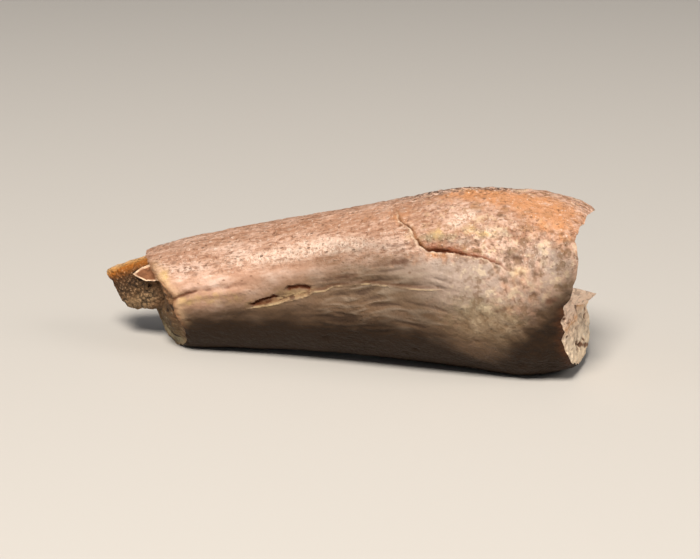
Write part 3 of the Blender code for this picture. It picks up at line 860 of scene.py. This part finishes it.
# %% Stains
STAINS = {  # kind: x, turn, reach along x and across in mm, strength
    "iron": [(27, 15, 7.5, 2.8, 0.9), (34, 30, 4, 5, 0.65), (20, 10, 5, 1.8, 0.6), (17.3, 65, 0.6, 1.0, 1),
             (15.6, 61.6, 1.6, 0.5, 1), (31, 26, 3, 3, 0.4), (27.4, 91.5, 0.8, 0.6, 0.8),
             (28.8, 90.5, 0.7, 0.5, 0.6), (2, 20, 14, 3, 0.35), (9.5, 30, 1.5, 1.5, 0.5),
             (20, 320, 9, 5, 0.6), (-20, 340, 8, 4, 0.4), (8, 250, 7, 4, 0.5)],
    # Pale patches: those from x 10 onwards and on the far side are lime; those from x -14 to 3, turns 42 to
    # 53, are a painted highlight band along the flank.
    "chalk": [(19.5, 35.5, 2, 1.3, 1), (20.6, 31, 2, 0.8, 0.7), (23.4, 46.5, 2.6, 1.1, 0.9),
              (31.8, 14.5, 1.2, 0.8, 0.9), (18.4, 41, 1.5, 0.8, 0.6), (-3.5, 42, 6, 1.3, 0.6),
              (-0.5, 48, 6, 1.2, 0.7), (3, 52, 3.5, 1, 0.4), (-14, 50, 8, 1.4, 0.5),
              (-8, 53, 6, 1.2, 0.5), (2, 285, 6, 3, 0.6), (26, 300, 4, 3, 0.6)],
    "ochre": [(15.7, 47, 1.4, 0.8, 1), (23.6, 47.5, 2.4, 0.8, 0.7), (20.7, 44, 0.8, 1, 0.7),
              (-28.7, 62, 1.2, 2.5, 0.8), (28, 70, 1.6, 0.8, 0.6), (-6.5, 84, 3.2, 0.8, 0.7),
              (-11.5, 93, 3, 0.6, 0.6), (-18, 86, 6, 1.2, 0.4),
              (-25.6, 86, 2.2, 0.9, 0.7), (-21, 81, 3, 0.6, 0.2)],
    "clay": [(13, 76, 10, 3, 1), (19, 86, 8, 3.5, 0.9), (4, 82, 9, 2, 0.5), (22, 71, 4, 1.2, 0.6),
             (19.5, 53, 2.5, 0.8, 0.6), (26, 47, 2, 0.8, 0.5), (35, 66, 3, 4, 0.8), (2, 50, 6, 1.8, 0.45),
             (31, 90, 4, 3, 0.5), (30, 60, 4, 3, 0.5), (-18, 262, 9, 4, 0.5)],
    "silt": [(24, 100, 5, 3.5, 0.9), (27, 112, 4, 3.5, 0.8), (20, 106, 6, 3, 0.6), (14.5, 49, 2, 0.8, 0.8),
             (17.8, 50.5, 2, 0.7, 0.8), (27, 58, 2, 1, 0.5), (10, 300, 8, 4, 0.4)],
    # Brown dashes and spots are stains; the broad patch at x 1.6, turn 73 is painted shadow in the channel
    # above its lip.
    "umber": [(10.4, 65.3, 3.1, 0.6, 1), (-27.3, 83, 0.7, 0.4, 0.9), (-27.3, 42.5, 0.6, 0.5, 0.7),
              (-23.1, 60, 0.7, 0.5, 0.5),
              (-25.3, 80, 1.3, 0.4, 0.8), (-20.5, 76.3, 1.6, 0.3, 0.6), (1.6, 73, 5, 1.1, 0.5),
              (9.5, 53, 2.6, 0.4, 0.6), (13.4, 60, 1, 0.4, 0.6), (14.6, 54.5, 0.5, 0.5, 0.7),
              (26.8, 59.5, 1, 0.5, 0.7), (28, 62, 0.9, 0.4, 0.6), (25.2, 33, 1, 0.6, 0.6),
              (22, 30.5, 0.8, 0.5, 0.6), (29.3, 71.5, 0.8, 0.4, 0.7), (31.3, 71, 0.8, 0.3, 0.4),
              (33.3, 87.5, 0.7, 0.5, 0.9), (34.3, 85.5, 0.9, 0.35, 0.7), (25.8, 94, 0.8, 0.4, 0.8),
              (26.8, 92, 0.6, 0.4, 0.7), (28.9, 77, 0.6, 0.4, 0.6), (28.9, 62, 0.7, 0.4, 0.45),
              (31, 55, 0.8, 0.4, 0.5), (34, 52, 0.8, 0.6, 0.6), (27.6, 69.5, 0.9, 0.3, 0.5)],
}


def stain(kind, x, turn, points, seed):
    """0 to 1: how much of a stain each point has, with a ragged outline."""
    amount = np.zeros(x.shape)
    radius = bone_radius(x) * np.radians(1)
    for at_x, at_turn, reach_x, reach_across, strength in STAINS[kind]:
        away = turn_from(turn, at_turn) * radius
        amount += strength * np.exp(-(((x - at_x) / reach_x) ** 2) - (away / reach_across) ** 2)
    ragged = 0.5 * layered_noise(points, 1.0, seed, 3)
    return between(amount + ragged * np.sqrt(np.clip(amount, 0, 1)), 0.12, 0.95)


print("stains:", {kind: len(places) for kind, places in STAINS.items()})

# %% [markdown]
# A mesh can carry named values with its points, called attributes, and a shader can read them. Those that
# the rings had would be garbled by the Boolean unions, so each is worked out afresh from where the
# points of the joined mesh lie, or looked up from the nearest point of the rings.

# %% Keeping values with the points
def away_from(x, turn, path):
    """Distance in mm from a path of marks, growing towards its ends, so that lines run out there."""
    gap, share = off_path(x, turn, curved(path))
    return gap + np.where(gap < 0, -1.5, 1.5) * (1 - fade(share, 0.08))


def nearest_value(points, places):
    """For each point the value of the nearest place. places has pairs of points and values."""
    spots = np.concatenate([spots.reshape(-1, 3) for spots, _ in places])
    values = np.concatenate([values.ravel() for _, values in places])
    tree = kdtree.KDTree(len(spots))
    for i, spot in enumerate(spots.tolist()):
        tree.insert(spot, i)
    tree.balance()
    return values[[tree.find(point)[1] for point in points.tolist()]]


def store(mesh, name, values):
    """Keeps one number or one vector for each point of a mesh."""
    kind, field = ("FLOAT", "value") if values.ndim == 1 else ("FLOAT_VECTOR", "vector")
    attribute = mesh.attributes.new(name, kind, "POINT")
    attribute.data.foreach_set(field, values.astype(np.float32).ravel())


def drawing_points(mesh):
    """The mesh's points back in the drawing, in mm."""
    flat = np.zeros(3 * len(mesh.vertices))
    mesh.vertices.foreach_get("co", flat)
    return flat.reshape(-1, 3) / MM + (*ORIGIN, 0)


points = drawing_points(claw.data)
x, y, z = points.T
turn = turn_at(x, y, z)
print("points:", len(points), "x from", round(x.min(), 1), "to", round(x.max(), 1), "mm")

# %% Places on the claw, for the shaders
# Towards the underside the skin is painted darker in two steps, brown and then near black: part stain and
# part painted shade on the side turned from the key light.
EARTH_AND_SHADE_LINE = [(-34, 98), (-26, 88), (-16, 82), (-8, 66), (0, 58), (8, 58), (16, 84), (24, 104), (36, 66)]
PATINA_AND_SHADE_LINE = [(-34, 120), (-26, 101), (-20, 99), (-8, 101), (0, 103), (8, 104), (16, 111), (24, 130),
               (31, 100), (36, 81)]  # x, and the turn from the crest at which the darkening, part stain and part painted shade, is half strong
EARTH_AND_SHADE_SPREAD, PATINA_AND_SHADE_SPREAD, RAGGED = 26, 17, 7  # degrees
TOP_SLANT = 0.35  # how fast the tongue's colours change across its top, next to down its side
RIM_REACH = 1.7  # mm of a break beside the skin that is stained by it
ZONES.update({
    "mottled": ((5, 20), None, None, (70, 100)),
    "flecked": ((14, 24), None, (28, 50), (115, 140)),
    "shelf": ((-14, -11), (-5, -2.5), None, None),
    "crest painted shade": (None, None, None, (20, 50)),
    "dark crust": ((6, 12), (25, 28), None, None),
    "crack": (None, (26, 28.5), None, None),
    "crack lip wear and highlight": ((8.5, 9.5), (25, 28), None, None),
    "crack rust": (None, (24, 28), None, None),
    "tip edge wear and highlight": (None, None, (26, 44), (94, 118)),
    "tip bevel": (None, None, (20, 36), (100, 122)),
    "rusty base edge": (None, None, (84, 94), (140, 160)),
    # Where the tongue is painted darker beside the tip's face, a painted shade in that corner.
    "foot": (None, (-20, -15), None, None),
})

skin_y, skin_z = bone_section(x, turn)
middle = section_shape(x)[0]
from_crest = np.minimum(turn, 360 - turn) + RAGGED * layered_noise(grain(x, turn) / (2.5, 1, 1), 1.8, 61)
to_tip, to_base = x - broken_edge(turn, TIP_BREAK, 5), broken_edge(turn, BASE_BREAK, 6) - x
raised, flank = ridged(x, turn)
lip_gap = away_from(x, turn, CHANNEL_LIP)
below_top = tongue_curve(x, 1) - z
gap, opening, shade, share = crack_place(x, turn)
# Painted shade on the crest, where the key light grazes it: weaker right on the top and weaker from x 8 to
# 18.
crest_shade_strength = (0.5 + 0.5 * between(from_crest, 6, 22)) * (1 - 0.6 * between(x, 8, 18))
kept = {
    "grain": grain(x, turn),
    "crack": shade * bump(gap - 0.5 * opening, 0.06 + opening) * zone("crack", x),
    # A pale line along the crack's lower lip: part wear, part painted highlight on the lip that faces up.
    "crack_lip": bump(gap + 0.05 + opening, 0.14) * zone("crack lip wear and highlight", x),
    "crack_rust": bump(gap - 2 * opening, 0.12 + 1.6 * opening) * zone("crack rust", x)
    * between(share, 0.36, 0.48),
    "crack_gold": bump(gap - opening, 0.12 + 1.4 * opening) * between(share, 0.02, 0.1)
    * between(-share, -0.5, -0.4),
    "lip_gap": lip_gap,
    # Painted highlight: the shelf of the channel, between the slots and the lip, is painted pale, streaked
    # with the grain.
    "shelf": bump(lip_gap - 0.45, 0.4) * zone("shelf", x),
    # A pale band on the skin beside the tip's break: part wear, part painted highlight on the rounded edge.
    "worn": bump(np.clip(to_tip - 0.3, 0, None), 1.3) * zone("tip edge wear and highlight", x, turn),
    "bevel": bump(to_tip, 0.75) * zone("tip bevel", x, turn),
    "rust": bump(to_base, 0.9) * zone("rusty base edge", x, turn),
    # How far up a ridge each place is; the skin is painted paler on ridge tops and darker in the troughs,
    # painted highlight and painted shade.
    "ridge": raised * flank,
    "coarse": (1 - 0.85 * zone("smooth tip half", x, turn) - 0.6 * flank) * (1 - worn_flank(x, turn)),
    "mottled": zone("mottled", x, from_crest),
    "flecked": zone("flecked", x, from_crest),
    "crest_dust": zone("crest painted shade", x, from_crest) * crest_shade_strength,
    "crust": zone("dark crust", x) * bump(turn_from(turn, 354), 13),
    "sunk": np.clip(-marks(x, turn), 0, 2),
    # Darker towards the underside in two steps: part stain, part painted shade.
    "earth": between(from_crest - smooth_curve(x, EARTH_AND_SHADE_LINE), -EARTH_AND_SHADE_SPREAD, EARTH_AND_SHADE_SPREAD),
    "patina": between(from_crest - smooth_curve(x, PATINA_AND_SHADE_LINE), -PATINA_AND_SHADE_SPREAD, PATINA_AND_SHADE_SPREAD),
    "hollow": nearest_value(points, hollows),
    "height": z,
    "below_top": below_top + TOP_SLANT * (tongue_curve(x, 4) - y),
    "rim": between(-np.hypot(skin_y, skin_z - middle) + np.hypot(y, z - middle), -RIM_REACH, 0),
    # Painted shade where the tongue meets the face of the tip, under its top.
    "foot": between(x - tip_face(y, z), -3.2, -1.2) * zone("foot", x) * between(below_top, 1.5, 3),
}
kept.update({kind: stain(kind, x, turn, points, 70 + i) for i, kind in enumerate(STAINS)})
for name, values in kept.items():
    store(claw.data, name, values)
print("kept for each point:", sorted(kept))

# %% [markdown]
# ## Materials
#
# One function adds a shader node, sets its properties and inputs and links other nodes into it. The
# finishes are then read from tables: the noises that each needs, with their sizes in mm, and the tints
# that are laid over its ground one after another, as a painter glazes a model.

# %% Adding nodes
def add(tree, kind, inputs=(), stops=(), **settings):
    """Adds a node. An input given as another node takes that node's first output that is in use."""
    node = tree.nodes.new(kind)
    for name, value in settings.items():
        setattr(node, name, value)
    for key, value in dict(inputs).items():
        socket = node.inputs[key] if isinstance(key, int) else next(
            s for s in node.inputs if s.name == key and s.enabled)
        if isinstance(value, bpy.types.Node):
            value = next(s for s in value.outputs if s.enabled)
        if isinstance(value, bpy.types.NodeSocket):
            tree.links.new(value, socket)
        else:
            socket.default_value = value
    for i, (position, tint) in enumerate(stops):
        if i >= len(node.color_ramp.elements):
            node.color_ramp.elements.new(position)
        node.color_ramp.elements[i].position = position
        node.color_ramp.elements[i].color = colour(tint)
    return node


print("nodes are added by", add.__name__)

# %% Building a finish
BONE_IOR = 1.5  # typical of stone


def start_finish(material, names, noises, squeeze=1.0):
    """The tree and the values that a finish is made from: what the points keep, the place and the noises.

    A noise has the vector it is read at, its size in mm along each axis, and its detail."""
    material.use_nodes = True
    tree = material.node_tree
    values = {name: add(tree, "ShaderNodeAttribute", attribute_name=name) for name in names}
    values = {name: node.outputs["Vector" if name == "grain" else "Fac"] for name, node in values.items()}
    place = add(tree, "ShaderNodeTexCoord").outputs["Object"]
    values["place"] = add(tree, "ShaderNodeVectorMath", {0: place, 1: (MM, squeeze * MM, MM)},
                          operation="DIVIDE")
    for name, (vector, size, detail) in noises.items():
        spot = add(tree, "ShaderNodeVectorMath", {0: values[vector], 1: size}, operation="DIVIDE")
        values[name] = add(tree, "ShaderNodeTexNoise",
                           {"Vector": spot, "Scale": 1.0, "Detail": detail, "Roughness": 0.6})
    return tree, values


def lay_over(tree, under, layers, values):
    """Lays tints over a colour. A layer has its tint, its strength and the value that it keeps to, or None.

    It may also have a pattern that breaks it up, and the low and high between which it comes in."""
    for tint, strength, keeps_to, *broken_up in layers:
        mask = strength
        if broken_up:
            pattern, low, high = broken_up
            mask = add(tree, "ShaderNodeMapRange",
                       {"Value": values[pattern], "From Min": low, "From Max": high, "To Max": strength},
                       interpolation_type="SMOOTHSTEP")
        if keeps_to:
            mask = add(tree, "ShaderNodeMath", {0: values[keeps_to], 1: mask}, operation="MULTIPLY")
        under = add(tree, "ShaderNodeMix", {"Factor": mask, "A": under, "B": colour(tint)}, data_type="RGBA")
    return under


def end_finish(tree, painted, height, specular):
    """Links the colour and the relief into the shader, and sets what all bone turned to stone shares."""
    shader = tree.nodes["Principled BSDF"]
    relief = add(tree, "ShaderNodeBump", {"Height": height, "Strength": 1.0, "Distance": MM})
    tree.links.new(painted.outputs["Result"], shader.inputs["Base Color"])
    tree.links.new(relief.outputs["Normal"], shader.inputs["Normal"])
    shader.inputs["IOR"].default_value = BONE_IOR
    shader.inputs["Specular IOR Level"].default_value = specular
    return shader


print("finishes are built by", start_finish.__name__, "and", end_finish.__name__)

# %% [markdown]
# Weathered fossil bone is dense bone whose pores are filled with stone. Its ground is mottled between
# peach, tan and cream, with streaks along the fibres; iron has stained it orange, clay grey and lime
# white, and some of the white is painted highlight. Towards the underside it is painted dark brown,
# part stain and part painted shade, and along the crest it has painted shade. The dark and pale tints
# that follow the streaks, hairs, flecks and specks are painted shade where the relief is low and painted
# highlight where it is raised. That gives the eye a warm, dry, slightly waxy stone. Real fibres are
# about a tenth of a millimetre wide and would not show, so they are drawn at 0.38. Pores are about 0.5 mm
# long and 0.3 mm wide, a usual size, and show as they are. All of it is noise read along the fibres,
# because tints painted by hand wouldn't keep to them over the whole skin.

# %% Tints of the weathered skin
SKIN_NOISES = {  # what it is read at, its size in mm along the bone and across it, and its detail
    "mottle": ("grain", (4.5, 2.4, 2.4), 4),
    "streak": ("grain", (2.4, 0.62, 0.62), 3),
    "hair": ("grain", (1.0, 0.38, 0.38), 2),
    "speckle": ("place", (0.55, 0.55, 0.55), 3),
    "blotch": ("place", (2.1, 2.1, 2.1), 5),
    "fleck": ("place", (1.4, 1.4, 1.4), 2),
}
SKIN_GROUND = [(0.3, "#b48a74"), (0.46, "#c69d86"), (0.58, "#d7b3a0"), (0.75, "#eacfc0")]
SKIN_LAYERS = [
    # Each dark and pale pair on the streaks and hairs follows their relief over the grain's own tone: dark
    # where it is low, a painted shade, and pale where it is raised, a painted highlight.
    ("#966a50", 0.6, "coarse", "streak", 0.5, 0.64),
    ("#f3d5c3", 0.35, "coarse", "streak", 0.45, 0.33),
    ("#7b523a", 0.5, "coarse", "hair", 0.52, 0.66),
    ("#f9e2d3", 0.3, "coarse", "hair", 0.48, 0.32),
    ("#a8805f", 0.8, "mottled", "blotch", 0.48, 0.36),
    ("#ecd3ae", 0.7, "mottled", "blotch", 0.54, 0.7),
    ("#d3925f", 0.85, "iron", "blotch", 0.0, 0.65),
    # Pale patches: partly lime, partly painted highlight.
    ("#f6dccb", 1.0, "chalk", "speckle", 0.36, 0.6),
    ("#e4c284", 1.0, "ochre", "blotch", 0.2, 0.6),
    ("#9f938a", 0.75, "clay"),
    ("#8f8468", 0.7, "silt"),
    # Flecks: their own tone, dark where low and pale where raised, painted shade and painted highlight.
    ("#73583f", 0.62, "flecked", "fleck", 0.49, 0.37),
    ("#e6d2b3", 0.45, "flecked", "fleck", 0.55, 0.68),
    # Painted shade on the crest.
    ("#a0765c", 0.6, "crest_dust", "blotch", 0.1, 0.6),
    ("#3b2c24", 1.0, "crust", "speckle", 0.42, 0.62),
    ("#f2e2d0", 1.0, "crust", "speckle", 0.4, 0.3),
    # Specks: dark where low and pale where raised, painted shade and painted highlight.
    ("#65462f", 0.6, "coarse", "speckle", 0.58, 0.68),
    ("#fdecdf", 0.4, "coarse", "speckle", 0.4, 0.3),
    ("#6b4a36", 0.6, "pore"),
    # Brown towards the underside: part stain, part painted shade.
    ("#65503b", 0.9, "earth"),
    # Painted highlight on the ridge tops and painted shade in the troughs between them.
    ("#ab9d8c", 0.3, None, "ridge", 0.2, 1.2),
    ("#46342a", 0.65, None, "ridge", -0.1, -0.9),
    # Near black on the underside: part stain, part painted shade.
    ("#2c1c0d", 1.0, "patina"),
    # Brown stains, and painted shadow in the channel above its lip.
    ("#5c3f2f", 0.85, "umber"),
    # Painted highlight on the channel's shelf, streaked with the grain.
    ("#d2b48a", 0.8, "shelf", "hair", 0.4, 0.58),
    # Pale band beside the tip's break: part wear, part painted highlight.
    ("#edc89e", 0.5, "worn"),
    ("#80573a", 0.8, "bevel"),
    ("#4a2b17", 0.85, "rust"),
    # Pale line along the channel's lip: part wear, part painted highlight.
    ("#bda784", 0.6, "lip_wear_and_highlight", "blotch", 0.4, 0.62),
    ("#58290f", 0.95, None, "sunk", 0.22, 0.6),
    ("#8f5234", 0.85, "crack_rust", "blotch", 0.25, 0.5),
    ("#9c6c40", 0.7, "crack_gold"),
    # Pale line under the crack: part wear, part painted highlight.
    ("#f2dcc2", 0.8, "crack_lip", "blotch", 0.38, 0.56),
    ("#5c2e18", 0.85, "crack"),
]
print("tints on the skin:", len(SKIN_LAYERS))

# %% Weathered skin
SKIN_RELIEF = (("speckle", -0.5), ("hair", -0.22), ("streak", -0.4), ("pore", -0.2))  # mm
FLECK_RELIEF = 0.35  # mm, also where the skin is smooth
PORE_SPACING = (1.5, 0.85, 0.85)  # mm along the bone and across it
PORE_EDGE, PORE_CHOICE = (0.24, 0.08), (0.75, 0.8)  # share of the spacing; under a quarter of them are open
LIP_WEAR_AND_HIGHLIGHT = (0.17, 0.03)  # mm from the lip at which its pale line, part wear and part painted highlight, starts and is full
SKIN_ROUGHNESS = (0.5, 0.72)
SKIN_SPECULAR, BREAK_SPECULAR = 0.2, 0.3


def dress_skin(material):
    """Weathered fossil bone."""
    used = [name for name in kept if name not in ("hollow", "height", "below_top", "rim", "foot")]
    tree, values = start_finish(material, used, SKIN_NOISES)
    spot = add(tree, "ShaderNodeVectorMath", {0: values["grain"], 1: PORE_SPACING}, operation="DIVIDE")
    pores = add(tree, "ShaderNodeTexVoronoi", {"Vector": spot, "Scale": 1.0})
    chosen = add(tree, "ShaderNodeSeparateColor", {"Color": pores.outputs["Color"]})
    to_lip = add(tree, "ShaderNodeMath", {0: values["lip_gap"]}, operation="ABSOLUTE")
    masks = [add(tree, "ShaderNodeMapRange", {"Value": value, "From Min": low, "From Max": high},
                 interpolation_type="SMOOTHSTEP")
             for value, (low, high) in ((pores, PORE_EDGE), (chosen, PORE_CHOICE), (to_lip, LIP_WEAR_AND_HIGHLIGHT))]
    values["pore"] = add(tree, "ShaderNodeMath", {0: masks[0], 1: masks[1]}, operation="MULTIPLY")
    values["lip_wear_and_highlight"] = masks[2]
    ground = add(tree, "ShaderNodeValToRGB", {"Fac": values["mottle"]}, stops=SKIN_GROUND)
    painted = lay_over(tree, ground, SKIN_LAYERS, values)
    height = 0.0
    for name, mm in SKIN_RELIEF:
        height = add(tree, "ShaderNodeMath", {0: values[name], 1: mm, 2: height}, operation="MULTIPLY_ADD")
    height = add(tree, "ShaderNodeMath", {0: height, 1: values["coarse"]}, operation="MULTIPLY")
    height = add(tree, "ShaderNodeMath", {0: values["fleck"], 1: FLECK_RELIEF, 2: height},
                 operation="MULTIPLY_ADD")
    shader = end_finish(tree, painted, height, SKIN_SPECULAR)
    low, high = SKIN_ROUGHNESS
    rough = add(tree, "ShaderNodeMapRange", {"Value": values["speckle"], "To Min": low, "To Max": high})
    tree.links.new(rough.outputs["Result"], shader.inputs["Roughness"])


dress_skin(materials[SKIN])
print("nodes in the skin:", len(materials[SKIN].node_tree.nodes))

# %% [markdown]
# Broken bone is duller than the skin, because it was never polished by the horn over it. The colour of
# its cell walls runs along a guide, such as the height, and its cells are dark. The old break at the tip
# has had time to stain: a dull olive to brown. The spongy tongue is ochre on top and brown below, like a
# crust of bread, partly its own colour and partly painted light: pale on the top that faces up, dark just
# under its top edge, and painted shade where it meets the face of the tip. The newer break at the base is
# still pale, a dry buff. The shard is dense bone, smooth and pinkish, and looks like a chip of china. On
# all of them the grains are painted pale and the gaps between them dark, a painted highlight and a
# painted shade on their crumbly relief. One function makes all four, since they differ only in tints and
# sizes. The grit of the stone in them is finer than 0.1 mm, so it is drawn at 0.45 to show.

# %% Broken bone
BREAK_NOISES = {"speckle": ("place", (0.45, 0.45, 0.45), 3), "blotch": ("place", (1.8, 1.8, 1.8), 4)}
BREAK_RELIEF = (("speckle", -0.5), ("crumbs", -0.7), ("blotch", 0.5))  # mm, at full strength
BREAK_ROUGHNESS = 0.75
BREAK_SWAY = 1.2  # mm by which noise shifts the colours along their guide
CRUMB_SWAY = (1.6, 1.6, 1.6)  # how far noise pushes the crumbs out of their rows
BREAKS = {  # guide, colours along it, and what the cells, crumbs and the edge beside the skin look like
    OLD_BREAK: dict(
        guide="height", walls=[(1.2, "#a39b7c"), (2.8, "#6c5a3e"), (6.0, "#54402a"), (9.0, "#6c4e33"),
                               (12.0, "#8e6644"), (16.0, "#deb48c")],
        cavity="#33241a", crumb="#b8a888", crumb_size=0.9, strength=0.35, rim="#7a563a"),
    SPONGE: dict(
        # The tongue's colours run down from its top: partly its own ochre and brown, partly painted light,
        # pale on the top that faces up and dark just under its top edge.
        guide="below_top", walls=[(0.2, "#dcb78c"), (1.1, "#cf9858"), (1.9, "#a8641f"), (2.7, "#84501f"),
                                  (3.5, "#5a3a1e"), (5.2, "#523a24"), (6.8, "#6a4f34"), (8.4, "#8c7152")],
        cavity="#1a0f07", crumb="#cba680", crumb_size=0.62, strength=0.75, rim="#c9a078", calm=2.2,
        foot="#6e5036"),
    NEW_BREAK: dict(
        guide="height", walls=[(0.5, "#ecd4b2"), (5, "#f0dcc2"), (8.6, "#ecd2b8"), (9.6, "#e0b086"),
                               (10.6, "#f2d4bc"), (13, "#ffe0c8"), (17, "#ffe6d0")],
        cavity="#74503a", crumb="#fff6ea", crumb_size=0.75, strength=0.45, rim="#e6cfb2", across=2.0),
    DENSE: dict(
        guide="hollow", walls=[(0.05, "#fcdcbc"), (0.35, "#f0c2a0"), (1.0, "#e8b08c")],
        cavity="#8a5a3c", crumb="#fbe4cc", crumb_size=0.9, strength=0.3, rim="#e6b898"),
}


def dress_break(material, guide, walls, cavity, crumb, crumb_size, strength, rim, calm=-99.0, across=1.0,
                foot=None):
    """Broken bone. No crumbs show where the guide is below calm, and across draws them out along y."""
    names = dict.fromkeys(("hollow", "rim", guide, *(["foot"] if foot else [])))
    tree, values = start_finish(material, names, BREAK_NOISES, squeeze=across)
    size = (crumb_size,) * 3
    spot = add(tree, "ShaderNodeVectorMath", {0: values["place"], 1: size}, operation="DIVIDE")
    swayed = add(tree, "ShaderNodeVectorMath", {0: values["blotch"].outputs["Color"], 1: CRUMB_SWAY, 2: spot},
                 operation="MULTIPLY_ADD")
    values["crumbs"] = add(tree, "ShaderNodeTexVoronoi", {"Vector": swayed, "Scale": 1.0})
    masks = [add(tree, "ShaderNodeMapRange", {"Value": values[name], "From Min": low, "From Max": high,
                                              "To Max": top}, interpolation_type="SMOOTHSTEP")
             for name, low, high, top in (("blotch", 0.35, 0.6, strength), (guide, calm, calm + 1.0, 1.0))]
    values["uneven"] = add(tree, "ShaderNodeMath", {0: masks[0], 1: masks[1]}, operation="MULTIPLY")
    along = add(tree, "ShaderNodeMath", {0: values["blotch"], 1: BREAK_SWAY, 2: values[guide]},
                operation="MULTIPLY_ADD")
    first, last = walls[0][0], walls[-1][0]
    share = add(tree, "ShaderNodeMapRange", {"Value": along, "From Min": first + BREAK_SWAY / 2,
                                             "From Max": last + BREAK_SWAY / 2})
    ground = add(tree, "ShaderNodeValToRGB", {"Fac": share},
                 stops=[((at - first) / (last - first), tint) for at, tint in walls])
    layers = [
        (rim, 0.7, "rim"),
        # Crumbs: pale grains with dark gaps between them, a painted highlight and a painted shade on the
        # crumbly relief.
        (cavity, 1.0, "uneven", "crumbs", 0.5, 0.72),
        (crumb, 1.0, "uneven", "crumbs", 0.32, 0.12),
        # Specks: dark where low and pale where raised, painted shade and painted highlight.
        (cavity, 0.6 * strength, None, "speckle", 0.57, 0.72),
        (crumb, 0.6 * strength, None, "speckle", 0.42, 0.3),
        (cavity, 0.95, None, "hollow", 0.15, 0.7),
        # Painted shade where the tongue meets the face of the tip.
        *([(foot, 0.85, "foot")] if foot else []),
    ]
    painted = lay_over(tree, ground, layers, values)
    height = 0.0
    for name, mm in BREAK_RELIEF:
        height = add(tree, "ShaderNodeMath", {0: values[name], 1: mm * strength, 2: height},
                     operation="MULTIPLY_ADD")
    shader = end_finish(tree, painted, height, BREAK_SPECULAR)
    shader.inputs["Roughness"].default_value = BREAK_ROUGHNESS


for finish, settings in BREAKS.items():
    dress_break(materials[finish], **settings)
used = np.zeros(len(claw.data.polygons), int)
claw.data.polygons.foreach_get("material_index", used)
print("faces of each finish:", dict(zip(FINISHES, np.bincount(used, minlength=len(FINISHES)).tolist())))

# %% [markdown]
# Smooth shading, except over edges sharper than 50 degrees, keeps the broken edges crisp.

# %% Finish
SHARP = np.radians(50)
claw.data.shade_smooth()
claw.data.set_sharp_from_angle(angle=SHARP)

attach(claw, "root")
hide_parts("claw")
